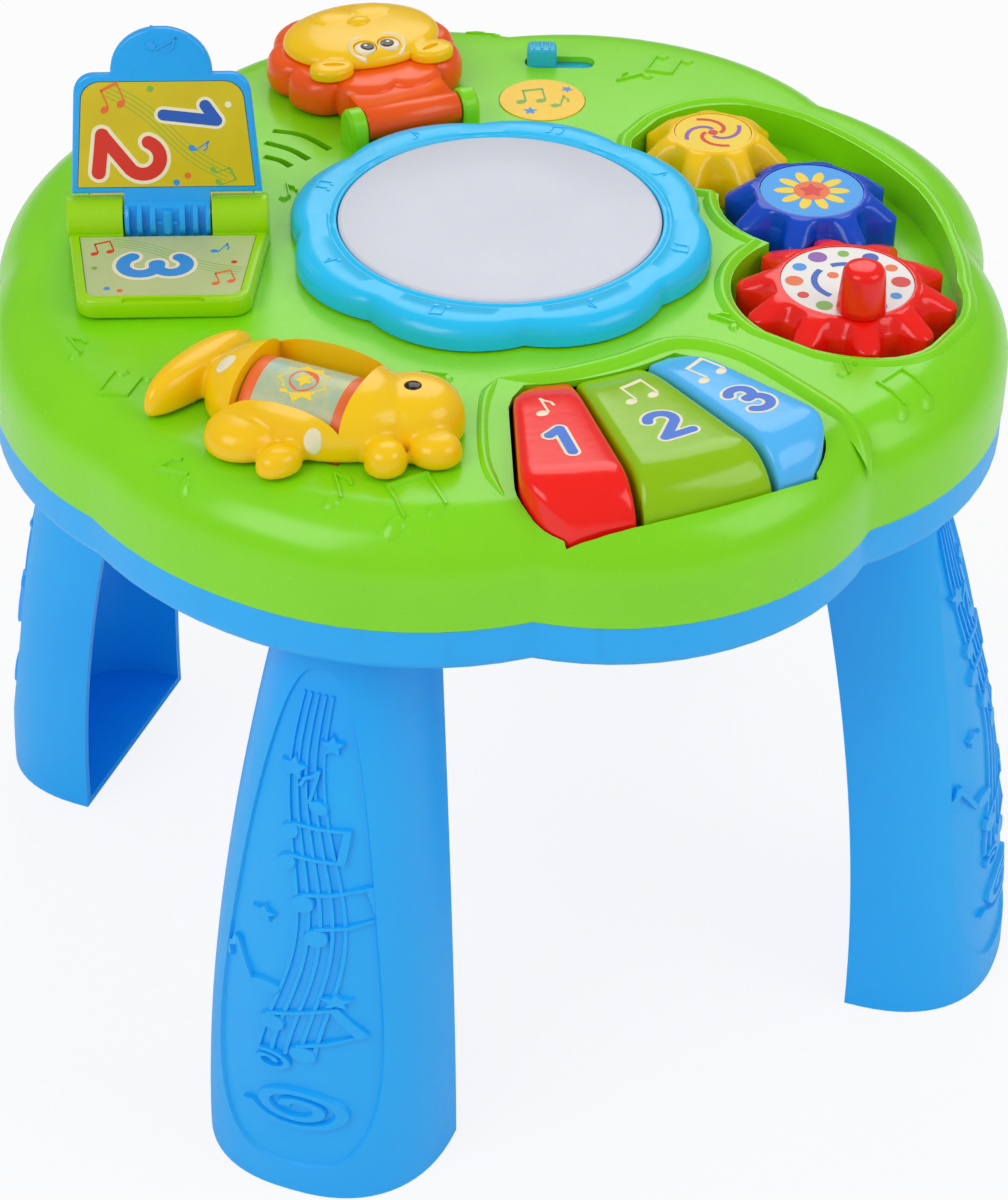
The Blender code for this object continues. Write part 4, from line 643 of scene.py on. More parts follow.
def keySpan(name, radius):
    low, high = keys["spans"][name]
    length = keys["outer"] - keys["inner"]
    rear = max(0.0, 1 - (radius - keys["inner"]) / (0.16 * length))
    front = max(0.0, (radius - keys["inner"]) / length - 0.70) / 0.30
    if name == "key_red":
        low += (high - low) * (0.28 * rear * rear + 0.42 * front ** 3)
    if name == "key_blue":
        high -= (high - low) * (0.35 * rear * rear + 0.55 * front ** 3)
    return low, high


def keyRows(steps=26):
    length = keys["outer"] - keys["inner"]
    return [keys["inner"] + length * math.sin(math.pi / 2 * step / steps) for step in range(steps + 1)]


def keyBay(spread):
    left, right = [], []
    for radius in keyRows(20):
        left.append((keySpan("key_red", radius)[0] - math.degrees(spread / radius), radius))
        right.append((keySpan("key_blue", radius)[1] + math.degrees(spread / radius), radius))
    inner, outer = keys["inner"] - spread, keys["outer"] + spread
    left[0], right[0] = (left[0][0], inner), (right[0][0], inner)
    left[-1], right[-1] = (left[-1][0], outer), (right[-1][0], outer)
    points = [polar(*pair) for pair in left]
    points += [
        polar(left[-1][0] + (right[-1][0] - left[-1][0]) * step / 10, outer) for step in range(1, 10)
    ]
    points += [polar(*pair) for pair in reversed(right)]
    points += [polar(right[0][0] + (left[0][0] - right[0][0]) * step / 8, inner) for step in range(1, 8)]
    return points


def deckLoops(steps, inset, low, turns=14):
    angles = []
    edges = list(table["notches"]) + [table["notches"][0] + 360]
    for start, end in zip(edges, edges[1:]):
        angles += [start + (end - start) * step / steps for step in range(steps)]

    def lobed(drawIn, height, fade=1.0, share=1.0):
        return [(*polar(angle, (lobedRadius(angle, fade) - drawIn) * share), height) for angle in angles]

    corner = table["corner"] - inset
    top = table["height"] - table["fall"] - inset
    loops = [lobed(inset, low)]
    for step in range(turns + 1):
        turn = math.pi / 2 * (1 - step / turns)
        fade = 1.0 - 0.4 * max(0.0, 1 - math.degrees(turn) / 45)
        loops.append(
            lobed(inset + corner * (1 - math.sin(turn)), top - corner * (1 - math.cos(turn)), fade)
        )
    for share, fade in ((0.83, 0.4), (0.74, 0.2), (0.60, 0.0)):
        loops.append(lobed(0.0, deckLevel(share * table["radius"]) - inset, fade, share))
    return loops


switch = {
    "place": (0.0225, 0.1365), "slot": (0.0270, 0.0100), "knob": (0.0115, 0.0088), "rise": 0.0070,
    "travel": 0.0140, "plate": 0.0230, "margin": 0.0025, "corner": 0.0045,
}
label = {"place": (0.0155, 0.1045), "radius": 0.0163, "thickness": 0.0006, "reach": 0.1056}
speakerSlots = (
    ((-0.0852, 0.0785), (-0.0738, 0.0749), (-0.0632, 0.0645)),
    ((-0.0876, 0.0693), (-0.0780, 0.0642), (-0.0706, 0.0568)),
    ((-0.0873, 0.0587), (-0.0812, 0.0558), (-0.0769, 0.0515)),
)
animal = {
    "angle": -23.4, "radius": 0.1310, "crest": 0.0215, "half": (0.0370, 0.0240), "roller": 0.0175,
    "rollerHalf": 0.0190, "shift": 0.0100, "axle": 0.0022, "axleLength": 0.0040, "notch": 0.0233,
    "eye": 0.0026, "eyeDepth": 0.0012, "band": 0.0146, "voxel": 0.0009, "easing": (0.5, 9),
    "bandEdges": (0.0148, 0.0145),
}
lion = {
    "angle": -156.4, "hinge": 0.0842, "height": 0.2845, "barrel": 0.0060, "half": 0.0185, "pin": 0.0013,
    "post": 0.0065, "postRadius": 0.0068, "postFoot": 0.2755, "running": 0.0004, "neck": (0.0155, 0.0048),
}
gap, wall, parting = table["gap"], table["wall"], table["parting"]
above = table["height"] + 0.02

deck = loft(bmesh.new(), deckLoops(table["steps"], 0.0, parting + gap / 2))
hollow = loft(bmesh.new(), deckLoops(8, wall, parting - 0.02, 6))
hollow = carve(hollow, prism(bmesh.new(), pocketEdge(wall), gearFloor - wall, above))
deck = carve(deck, hollow)
pocket = prism(bmesh.new(), pocketEdge(0.0), gearFloor, above)
axles = bmesh.new()
for name in gearNames:
    prism(
        axles, circle(gears["axle"], 24, *gearCentres[name]), gearFloor - wall,
        gearFloor + gears["axleHeight"],
    )
deck = carve(deck, carve(pocket, axles))
wells = bmesh.new()
prism(wells, keyBay(keys["clearance"]), parting - 0.02, above)
for name in gearNames:
    prism(wells, circle(gears["screw"], 12, *gearCentres[name]), gearFloor - 0.01, above)
prism(wells, circle(0.007, 24), parting, above)
prism(
    wells, roundedBox(switch["slot"][0] / 2, switch["slot"][1] / 2, switch["corner"], *switch["place"]),
    0.26, above,
)
prism(
    wells, circle(label["radius"] + gap, 48, *label["place"]),
    deckLevel(label["reach"]) - label["thickness"], above,
)
for path in speakerSlots:
    ribbon(wells, lambda u, v, height: (u, v, height), smoothPath(path), 0.0030, 0.268, above, 0, 1.0)
deck = carve(deck, wells)
wellHalf = animal["roller"] + gap * 3
rollerWell = box(
    bmesh.new(), (animal["shift"] - animal["rollerHalf"] - gap, animal["radius"] - wellHalf, parting),
    (animal["shift"] + animal["rollerHalf"] + gap, animal["radius"] + wellHalf, above),
)
bmesh.ops.transform(rollerWell, matrix=stationMatrix(animal["angle"]), verts=rollerWell.verts)
deck = carve(deck, rollerWell)
print("deck carved:", len(deck.faces), "faces")


def onDeck(u, v, rise):
    return (u, v, deckSurface(u, v) + rise)


lipSink, lipFoot = 0.0003, 0.0012


def lip(bm, path, width, rise, closed=True):
    # a soft raised bead along the deck
    loops = []
    count = len(path)
    for index in range(count):
        ahead = path[(index + 1) % count] if closed else path[min(index + 1, count - 1)]
        behind = path[index - 1] if closed or index else path[0]
        dx, dy = ahead[0] - behind[0], ahead[1] - behind[1]
        size = math.hypot(dx, dy) or 1.0
        ends = 1.0 if closed else max(0.05, min(1.0, index / 4, (count - 1 - index) / 4))
        section = []
        for step in range(9):
            share = -1 + step / 4
            x = path[index][0] - dy / size * width / 2 * share * ends
            y = path[index][1] + dx / size * width / 2 * share * ends
            section.append(
                onDeck(
                    x, y,
                    rise * ends * (
                        math.cos(math.pi / 2 * share) ** 1.5 if abs(share) < 1 else 0.0
                    ) - lipSink,
                )
            )
        section.append(onDeck(path[index][0], path[index][1], -lipFoot))
        loops.append(section)
    loft(bm, loops, not closed, closed)


trim = bmesh.new()
lip(trim, pocketEdge(0.0030), 0.0056, 0.0016)
lip(
    trim,
    smoothPath(
        [
            (0.000, -0.089), (0.018, -0.0875), (0.040, -0.078), (0.060, -0.066), (0.080, -0.072),
            (0.100, -0.092), (0.116, -0.112), (0.122, -0.124),
        ]
    ),
    0.0085, 0.0024, False,
)
lip(
    trim,
    smoothPath([(0.000, -0.089), (-0.004, -0.100), (-0.005, -0.120), (-0.003, -0.142), (0.004, -0.160)]),
    0.0050, 0.0012, False,
)
notes = (
    (-0.1419, -0.0774, 30, 1, 10), (-0.1157, -0.0912, 160, 2, 10), (-0.1000, -0.1440, 60, 1, 11),
    (-0.0520, -0.1590, 12, 1, 12), (-0.0320, -0.1680, 22, 2, 14), (-0.0180, -0.0980, 80, 2, 8),
    (-0.0780, 0.0280, 10, 1, 8),
    (0.0800, -0.0560, 60, 1, 9), (0.1150, -0.0840, 10, 1, 9), (0.1330, -0.1010, 40, 2, 12),
    (0.0560, 0.1250, 120, 1, 10), (0.0720, 0.1380, 160, 2, 10), (-0.0680, 0.1240, 70, 1, 10),
    (-0.1270, 0.0800, 20, 2, 10), (-0.0020, 0.1590, 90, 1, 10),
)
for u, v, turn, kind, size in notes:
    note(trim, onDeck, u, v, size / 1000, turn, -0.0004, 0.0009, kind, 0, 0.5)
bmesh.ops.recalc_face_normals(trim, faces=trim.faces)
fuse(deck, trim)
for side in (-1, 1):
    # the lion's two round-topped posts
    start = side * (lion["half"] + gap * 2)
    end = start + side * lion["post"]
    loops = []
    for x, share in (
        (start, 0.9), (start + (end - start) * 0.12, 1.0), (end - (end - start) * 0.2, 1.0), (end, 0.82),
    ):
        radius = lion["postRadius"] * share
        loop = [
            (x, lion["hinge"] - radius, lion["postFoot"]), (x, lion["hinge"] + radius, lion["postFoot"]),
        ]
        loop += [
            (
                x, lion["hinge"] + radius * math.cos(math.pi * step / 14),
                lion["height"] + radius * math.sin(math.pi * step / 14),
            )
            for step in range(15)
        ]
        loops.append([stationMatrix(lion["angle"]) @ Vector(point) for point in loop])
    loft(deck, loops)
makePiece("deck_shell", deck, ["greenDeck"], "table", ["top_shell"])

# tray: the blue rim below the deck, with its battery box, bosses and sockets carried over from the solid
def partingRing(drawIn, height, steps=16):
    points = []
    edges = list(table["notches"]) + [table["notches"][0] + 360]
    for start, end in zip(edges, edges[1:]):
        for step in range(steps):
            angle = start + (end - start) * step / steps
            points.append((*polar(angle, lobedRadius(angle) - drawIn), height))
    return points


def copyNode(name):
    # a merged copy of a CAD solid
    bm = bmesh.new()
    bm.from_mesh(nodes[name].data)
    bmesh.ops.remove_doubles(bm, verts=bm.verts, dist=0.000002)
    bmesh.ops.dissolve_limit(bm, angle_limit=math.radians(0.5), verts=bm.verts, edges=bm.edges)
    for face in bm.faces:
        face.material_index = 0
    return bm


rimBottom = parting - table["rim"]
tray = copyNode("base_shell")
loops = [partingRing(0.006, rimBottom + 0.002), partingRing(table["tuck"] * 1.3, rimBottom)]
for step in range(1, 10):
    turn = math.radians(10 * step)
    drawIn = table["tuck"] * (1 - math.sin(turn)) + gap * math.sin(turn)
    loops.append(partingRing(drawIn, rimBottom + table["tuck"] * (1 - math.cos(turn))))
loops += [
    partingRing(gap, parting - gap / 2), partingRing(0.0035, parting - gap / 2),
    partingRing(0.0035, parting - 0.006),
]
skin = loft(bmesh.new(), loops, False)
makePiece("tray_shell", fuse(tray, skin), ["blueShell"], "table", ["base_shell"])
print("tray done")

# legs: open channels with a recessed panel of raised lines, notes and stars
legs = {
    "angles": {"leg_front": -20, "leg_right": 70, "leg_rear": 160, "leg_left": -110},
    "foot": (0.1603, 0.0452, 0.0480), "top": (0.1230, 0.0245, 0.0386),
    "curves": (2.0, 1.85, 1.15), "roundness": 2.42, "wall": 0.003, "panel": 0.0018, "low": 0.06,
    "high": 0.93, "width": 0.54,
    "plug": (0.016, 0.010, 0.0025), "plugHollow": (0.0135, 0.0075, 0.002), "plugShift": 0.019,
    "plugLow": 0.0015, "plugHigh": 0.013, "plugFloor": 0.00125,
    "recess": (
        (0.02, 0.0), (0.35, 0.0), (0.7, 0.0), (0.97, 0.0), (1.0, 0.0004), (1.02, 0.004), (0.6, 0.004),
        (0.02, 0.004),
    ),
    "markHalf": 0.0155,
}
legTop = rimBottom - gap


def legSection(height):
    share = height / legTop
    return [
        low + (high - low) * share ** curve
        for low, high, curve in zip(legs["foot"], legs["top"], legs["curves"])
    ]


def legPoint(height, across, inset):
    radius, half, depth = legSection(height)
    power = legs["roundness"]
    reach = min(1.0, abs(across))
    bulge = (1 - reach ** power) ** (1 / power)
    normalX = reach ** (power - 1) / half
    normalY = bulge ** (power - 1) / depth if bulge > 0 else 0.0
    size = math.hypot(normalX, normalY)
    side = 1 if across >= 0 else -1
    return side * (half * reach - inset * normalX / size), radius + depth * bulge - inset * normalY / size


def legLoop(height, inset, chord, steps):
    radius, half, depth = legSection(height)
    loop = []
    for step in range(steps + 1):
        turn = math.pi * step / steps
        power = 2 / legs["roundness"]
        loop.append(
            (
                (half - inset) * math.copysign(abs(math.cos(turn)) ** power, math.cos(turn)),
                radius + (depth - inset) * abs(math.sin(turn)) ** power, height,
            )
        )
    return loop + [(loop[-1][0], radius - chord, height), (loop[0][0], radius - chord, height)]


panelMiddle = legTop * (legs["low"] + legs["high"]) / 2
panelReach = legTop * (legs["high"] - legs["low"]) / 2


def panelPoint(u, v, rise):
    # u and v run from -1 to 1 over the panel; rise is above its floor
    across = u * legs["width"] * (1.25 - 0.25 * v)
    x, y = legPoint(panelMiddle + panelReach * v, across, legs["panel"] - rise)
    return (x, y, panelMiddle + panelReach * v)


def panelRing(share, rise, sides=64):
    points = []
    for a, b in circle(1.0, sides):
        points.append(
            panelPoint(
                math.copysign(abs(a) ** 0.66, a) * share, math.copysign(abs(b) ** 0.66, b) * share, rise,
            )
        )
    return points


def markPanel(bm):
    low, high = -0.0003, 0.0016
    stretch = panelReach / legs["markHalf"]

    def surface(u, v, rise):
        return panelPoint(u / legs["markHalf"], v / legs["markHalf"] / stretch, rise)

    for order in range(5):
        # five wavy lines along the panel
        shift = -0.0068 + 0.0026 * order
        path = [
            (shift + 0.0032 * math.sin(step / 5.0 + 0.6), 0.088 - 0.0040 * step) for step in range(35)
        ]
        ribbon(bm, surface, path, 0.0011, low, 0.0009)
    for u, v, size, turn, kind in (
        (-0.003, 0.050, 0.0105, 10, 1), (0.004, 0.028, 0.0115, 90, 2), (-0.004, 0.002, 0.0125, 75, 2),
        (0.006, -0.022, 0.0120, -20, 1), (-0.002, -0.046, 0.0120, 60, 2),
    ):
        note(bm, surface, u, v, size, turn, low, high, kind)
    for u, v, outer in (
        (-0.006, 0.072, 0.0042), (0.005, 0.062, 0.0050), (0.008, 0.006, 0.0034), (-0.008, -0.022, 0.0036),
    ):
        blob(bm, surface, star(5, outer, outer * 0.5, u, v, 18), low, high)
    ribbon(bm, surface, arc(0.0020, 0, 700, -0.001, -0.070, 44, 0.0072), 0.0028, low, high)
    ribbon(bm, surface, arc(0.0010, 180, -300, 0.004, -0.052, 24, 0.0030), 0.0016, low, high)


for name, angle in legs["angles"].items():
    levels = [legTop * step / 22 for step in range(23)]
    leg = loft(bmesh.new(), [legLoop(height, 0.0, gap, 36) for height in levels])
    channelTop = legTop - legs["wall"]
    levels = [legs["wall"] + (channelTop - legs["wall"]) * step / 10 for step in range(11)]
    leg = carve(leg, loft(bmesh.new(), [legLoop(height, legs["wall"], 0.02, 24) for height in levels]))
    leg = carve(leg, loft(bmesh.new(), [panelRing(share, rise) for share, rise in legs["recess"]]))
    markPanel(leg)
    plugY = legs["top"][0] + legs["plugShift"]
    plug = prism(
        bmesh.new(), roundedBox(*legs["plug"], 0.0, plugY), legTop - legs["plugLow"],
        legTop + legs["plugHigh"],
    )
    plug = carve(
        plug,
        prism(
            bmesh.new(), roundedBox(*legs["plugHollow"], 0.0, plugY), legTop + legs["plugFloor"],
            legTop + 0.02,
        ),
    )
    makePiece(
        name + "_channel", fuse(leg, plug), ["blueShell"], "table", [name],
        stationMatrix(angle),
    )
print("legs done")

# drum: a milky pad in a flower-shaped ring
drum = {
    "radius": 0.0572, "top": 0.2873, "thickness": 0.003, "skirt": 0.0022, "drop": 0.0042,
    "plunger": 0.006, "ring": 0.0758, "notch": 0.0048, "lobes": 8, "phase": 7.0, "ringTop": 0.2868,
    "running": 0.0005, "marks": 0.0636,
}


def ringLoop(inward, height, steps=16):
    points = []
    hole = drum["radius"] + drum["running"]
    for step in range(drum["lobes"] * steps):
        share = (step % steps) / steps
        angle = math.radians(drum["phase"] + 360 * step / (drum["lobes"] * steps))
        radius = drum["ring"] - drum["notch"] * (2 * share - 1) ** 2 * (1 - inward)
        radius += (hole - radius) * inward
        points.append((radius * math.cos(angle), radius * math.sin(angle), height))
    return points


ringFloor = table["height"] + gap
rise = drum["ringTop"] - ringFloor
ringShape = bmesh.new()
profile = (
    (0, 0), (0, 0.42), (0.03, 0.62), (0.09, 0.79), (0.18, 0.91), (0.30, 0.98), (0.42, 1.0), (0.80, 1.0),
    (0.84, 0.94), (0.88, 0.94), (0.92, 1.0), (0.98, 1.0), (1.0, 0.96), (1.0, 0),
)
loft(ringShape, [ringLoop(inward, ringFloor + rise * height) for inward, height in profile], around=True)
for order in range(8):
    turn = drum["phase"] + 22.5 + 45 * order
    u, v = drum["marks"] * math.cos(math.radians(turn)), drum["marks"] * math.sin(math.radians(turn))
    note(
        ringShape, lambda a, b, height: (a, b, drum["ringTop"] + height), u, v, 0.0042, turn - 90,
        -0.0006, 0.0004, 1 + order % 2, 0, 0.6,
    )
makePiece("drum_flower_ring", ringShape, ["cyanRing"], "table", ["drum_ring"])
top, under = drum["top"], drum["top"] - drum["thickness"]
edge, inside = drum["radius"], drum["radius"] - drum["skirt"]
pad = turned(
    bmesh.new(),
    [
        (0.0, top), (edge * 0.5, top), (edge * 0.975, top), (edge * 0.988, top - 0.0002),
        (edge * 0.997, top - 0.0006), (edge, top - 0.0012), (edge, under - drum["drop"]),
        (inside, under - drum["drop"]), (inside, under), (drum["plunger"], under),
        (drum["plunger"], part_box("drum_pad")[0].z), (0.0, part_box("drum_pad")[0].z),
    ],
    96,
)
makePiece("drum_milky_pad", pad, ["milkyPad"], "drum", ["drum_pad"])

# strokes for plain round numerals, one unit high
numerals = {
    "1": [[(-0.20, 0.24), (-0.08, 0.34), (0.05, 0.45)], [(0.06, 0.46), (0.06, 0.0), (0.06, -0.48)]],
    "2": [
        arc(0.26, 165, -35, 0.0, 0.20, 16) + [(-0.27, -0.42)],
        [(-0.28, -0.42), (0.0, -0.42), (0.32, -0.42)],
    ],
    "4": [
        [(0.05, 0.48), (-0.12, 0.10), (-0.32, -0.16), (0.0, -0.16), (0.34, -0.16)],
        [(0.12, 0.12), (0.12, -0.20), (0.12, -0.48)],
    ],
    "5": [
        [(0.26, 0.44), (0.0, 0.44), (-0.20, 0.44), (-0.24, 0.04)],
        [(-0.24, 0.04)] + arc(0.29, 115, -150, -0.02, -0.19),
    ],
    "3": [arc(0.23, 150, -95, -0.03, 0.23, 16), arc(0.26, 95, -150, -0.03, -0.22, 16)],
}


def numeral(bm, surface, sign, u, v, size, turn, ink, halo, weight=0.21):
    c, s = math.cos(math.radians(turn)), math.sin(math.radians(turn))
    for material, width, high in ((halo, weight + 0.12, 0.00006), (ink, weight, 0.00018)):
        for order, path in enumerate(numerals[sign]):
            placed = [(u + (a * c - b * s) * size, v + (a * s + b * c) * size) for a, b in path]
            inkLine(bm, surface, placed, size * width, high + 0.00003 * order, material, 0.97)
            for end, drop in ((placed[0], 0.00001), (placed[-1], 0.00002)):
                inked(
                    bm, surface, circle(size * width / 2, 20, *end), high + 0.00003 * order - drop,
                    material, 0.97,
                )


# keys: rounded tapered bars on steel pins, each with a printed note and numeral
keyLooks = {
    "key_red": ("redKey", "red_plastic", "1", 1), "key_lime": ("limeKey", "lime_plastic", "2", 2),
    "key_blue": ("skyKey", "light_blue_plastic", "3", 2),
}
columns = (
    (0.0, 2.6), (0.015, 1.55), (0.04, 0.85), (0.08, 0.38), (0.16, 0.10), (0.3, 0.0), (0.5, 0.0),
    (0.7, 0.0), (0.84, 0.10), (0.92, 0.38), (0.96, 0.85), (0.985, 1.55), (1.0, 2.6),
)
for name, (finishName, slotName, sign, kind) in keyLooks.items():
    middle = sum(keys["spans"][name]) / 2
    loops = []
    rows = keyRows()
    for index, radius in enumerate(rows):
        low, high = keySpan(name, radius)
        rear = keys["rearDrop"] * max(0.0, 1 - index / 3) ** 2
        loop = [
            (*polar(low + (high - low) * share, radius), keyTop(radius) - rear - drop / 1000)
            for share, drop in columns
        ]
        loops.append(
            loop + [(*polar(high, radius), keys["bottom"]), (*polar(low, radius), keys["bottom"])]
        )
    key = loft(bmesh.new(), loops)
    hinge = stationMatrix(middle) @ Matrix.Translation((0.0, keys["hinge"], keys["hingeHeight"]))
    hub = turned(
        bmesh.new(), [(keys["hub"], -keys["hubHalf"]), (keys["hub"], keys["hubHalf"])], 24, axis="X",
    )
    hub = drill(hub, keys["pin"] + keys["running"], keys["hubHalf"] * 2)
    box(hub, *keys["web"])
    reach, half = keys["plunger"] - keys["hinge"], keys["plungerHalf"]
    box(
        hub, (-half, reach - half, keys["bottom"] - keys["hingeHeight"] - keys["plungerDrop"]),
        (half, reach + half, 0.0),
    )
    bmesh.ops.transform(hub, matrix=hinge, verts=hub.verts)
    fuse(key, hub)

    def onKey(u, v, height):
        radius = keys["printRadius"] - v
        return (*polar(middle + math.degrees(u / radius), radius), keyTop(radius) + height)

    note(key, onKey, -0.0035, 0.0105, 0.0085, 8, printFoot, 0.00008, kind, 2)
    numeral(key, onKey, sign, 0.0, -0.0085, 0.017, 6, 1, 2)
    makePiece(
        name + "_bar", key, [finishName, "keyInk", "creamInk"], name.replace("key_", "") + "_key",
        [name],
    )

# gears: dished toothed wheels with picture discs
discDots = (
    (0.15, 1), (0.10, 2), (0.13, 3), (0.09, 4), (0.15, 5), (0.11, 6), (0.14, 2), (0.09, 1), (0.13, 4),
    (0.10, 5), (0.14, 3), (0.09, 6),
)
gearLooks = {
    "gear_red": ("redKey", "red_plastic", "whiteCard", "white_disc"),
    "gear_blue": ("deepBlue", "deep_blue_plastic", "skyCard", "light_blue_plastic"),
    "gear_yellow": ("sunYellow", "yellow_plastic", "yellowInk", "yellow_plastic"),
}


def gearOutline(name, inset=0.0):
    points = []
    for tooth in range(gearTeeth[name]):
        middle = math.radians(gearPhases[name]) + math.tau * tooth / gearTeeth[name]
        flank = []
        for height, width in zip(gears["reach"], gears["width"]):
            radius = gears["module"] * (gearTeeth[name] + height) - inset
            flank.append((radius, gears["module"] * width / radius))
        points += [
            (radius * math.cos(middle - half), radius * math.sin(middle - half)) for radius, half in flank
        ]
        points += [
            (radius * math.cos(middle + half), radius * math.sin(middle + half))
            for radius, half in reversed(flank)
        ]
    rounded = []
    for index, (x, y) in enumerate(points):
        nextX, nextY = points[(index + 1) % len(points)]
        rounded += [(x + (nextX - x) * share, y + (nextY - y) * share) for share in (0.18, 0.82)]
    return rounded


for name in gearNames:
    finishName, slotName, discFinish, discSlot = gearLooks[name]
    centre = Matrix.Translation((*gearCentres[name], gearBottom))
    crownTop = gears["wall"] + gears["rise"][name]
    crownRadius = gears["crown"][name]
    outline = gearOutline(name)
    edge = gearOutline(name, gears["edge"])
    loops = [
        level(outline, 0.0), level(outline, gears["wall"] - gears["shoulder"]),
        level(edge, gears["wall"] - 0.0002),
    ]
    for share in (0.12, 0.35, 0.6, 0.82, 0.95, 1.0):
        blend = []
        for x, y in edge:
            size = math.hypot(x, y)
            radius = size + (crownRadius - size) * share
            blend.append((x / size * radius, y / size * radius))
        loops.append(
            level(
                blend, gears["wall"] + gears["rise"][name] * math.sin(math.pi / 2 * share) ** 1.3 * 0.96,
            )
        )
    inner = [
        (
            x / math.hypot(x, y) * (crownRadius - gears["dish"]),
            y / math.hypot(x, y) * (crownRadius - gears["dish"]),
        )
        for x, y in edge
    ]
    loops.append(level(inner, crownTop))
    gear = loft(bmesh.new(), loops)
    recess = crownRadius - gears["rim"]
    bore = gears["axle"] + gears["running"]
    axleTop = gearFloor + gears["axleHeight"] - gearBottom
    counter = axleTop - gap
    profile = [
        (0.0, -0.01), (bore, -0.01), (bore, counter), (gears["flange"] + gap * 3, counter),
        (gears["flange"] + gap * 3, crownTop - gears["recess"]), (recess, crownTop - gears["recess"]),
        (recess, crownTop + 0.01), (0.0, crownTop + 0.01),
    ]
    holes = turned(bmesh.new(), profile, 64)
    bmesh.ops.remove_doubles(holes, verts=holes.verts, dist=0.000001)
    gear = carve(gear, holes)
    cavityRadius = gears["module"] * (gearTeeth[name] + gears["reach"][0]) - gears["shell"]
    cavity = prism(bmesh.new(), circle(cavityRadius, 32), -0.01, gears["wall"] - gears["shell"])
    gear = carve(
        gear, carve(cavity, prism(bmesh.new(), circle(bore + gears["hub"], 24), -0.03, gears["wall"])),
    )
    body = name.replace("gear_", "") + "_gear"
    makePiece(name + "_wheel", gear, [finishName], body, [name], centre)

    discTop = crownTop - gears["recess"] + gap + gears["disc"]
    disc = prism(bmesh.new(), circle(recess - gap, 64), discTop - gears["disc"], discTop)
    slope = math.radians(gears["knobAngle"])
    knobX, knobY = gears["knobOffset"] * math.cos(slope), gears["knobOffset"] * math.sin(slope)
    if name == "gear_red":
        disc = carve(disc, prism(bmesh.new(), circle(gears["knobHole"], 20, knobX, knobY), 0.0, 0.03))
    onDisc = lambda u, v, height: (u, v, discTop + height)
    wide = recess - gap
    if name == "gear_red":
        for order, (size, ink) in enumerate(discDots):
            u, v = circle(wide * 0.80, 12)[order]
            if order != 9:
                inked(disc, onDisc, ellipse(wide * size, wide * size, 16, u, v), 0.00010, ink)
        for start in (20, 140, 260):
            inkLine(disc, onDisc, arc(wide * 0.50, start, start + 95, steps=14), wide * 0.10, 0.0001, 3)
            dotReach, slope = wide * 0.27, math.radians(start)
            dotU, dotV = dotReach * math.cos(slope), dotReach * math.sin(slope)
            inked(
                disc, onDisc, ellipse(wide * 0.09, wide * 0.09, 14, dotU, dotV), 0.0001, 1 + start // 120,
            )
    elif name == "gear_blue":
        for order in range(10):
            u, v = circle(wide * 0.50, 10)[order]
            inked(disc, onDisc, ellipse(wide * 0.24, wide * 0.11, 16, u, v, 36 * order), 0.00008, 2)
        inked(disc, onDisc, circle(wide * 0.36, 32), 0.00012, 3)
        inked(disc, onDisc, star(5, wide * 0.27, wide * 0.15, turn=90), 0.00016, 1)
    else:
        for order in range(4):
            inkLine(
                disc, onDisc, arc(wide * 0.18, 90 * order, 90 * order + 120, steps=16, grow=wide * 0.62),
                wide * 0.11, 0.0001, 1 + order % 2,
            )
        inked(disc, onDisc, circle(wide * 0.13, 20), 0.00014, 1)
    inks = {
        "gear_red": ["redInk", "orangeInk", "blueInk", "greenInk", "purpleInk", "skyInk"],
        "gear_blue": ["redInk", "yellowInk", "orangeInk"], "gear_yellow": ["redInk", "purpleInk"],
    }[name]
    makePiece(
        name + "_picture", disc, [discFinish] + inks, body, [name.replace("gear", "gear_disc")],
        centre,
    )
    if name == "gear_red":
        stem = crownTop - gears["knobStem"]
        profile = [
            (0.0, stem), (gears["knobStem"], stem), (gears["knobStem"], crownTop + gap),
            (0.0080, crownTop + gap),
        ]
        profile += [(radius, crownTop + height) for radius, height in gears["knobDome"]]
        makePiece(
            "gear_turning_knob", turned(bmesh.new(), profile, 48, knobX, knobY), ["redKey"], body,
            ["gear_knob"], centre, 50.0,
        )
print("drum, keys and gears done")

# book: a lime base on the deck, a blue leaf on a steel pin, four printed cards
book = {
    "place": (-0.1165, -0.0030), "turn": 2.7, "half": 0.0355, "end": 0.0300, "reach": 0.0520,
    "corner": 0.0075, "seat": 0.2775, "top": 0.2843, "hinge": 0.2870, "barrel": 0.0078, "knuckle": 0.0150,
    "pin": 0.0016, "rim": 0.0035, "cardStart": 0.0082, "card": 0.0005, "recess": 0.0012,
    "finger": (0.0140, 0.0022, 0.0015), "fingerDepth": 0.0011, "cardMiddle": -0.0285,
}
leafSize = {
    "half": 0.03325, "top": 0.0305, "start": 0.0095, "length": 0.0530, "corner": 0.0070,
    "thickness": 0.0042, "tab": 0.0175, "tabRise": 0.0165, "lean": 7.5, "rim": 0.0022, "bore": 0.0020,
    "slots": (-0.0120, -0.0075, 0.0075, 0.0120), "slotHalf": 0.0014,
}
bookMatrix = Matrix.Translation((*book["place"], 0.0)) @ Matrix.Rotation(
    math.radians(book["turn"]), 4, "Z",
)


def bookHalf(inset, start=0.0):
    # one side of the book's outline, from right to left round its far edge
    half, end, reach = book["half"] - inset, book["end"] - inset, book["reach"] - inset
    corner = max(0.001, book["corner"] - inset)
    points = [(half - (half - end) * start / reach, start)]
    points += rounding(end - corner, reach - corner, corner)
    return points + [(-x, y) for x, y in reversed(points)]


def bookLoop(inset):
    rear = bookHalf(inset)
    return rear + [(-x, -y) for x, y in rear][1:-1]


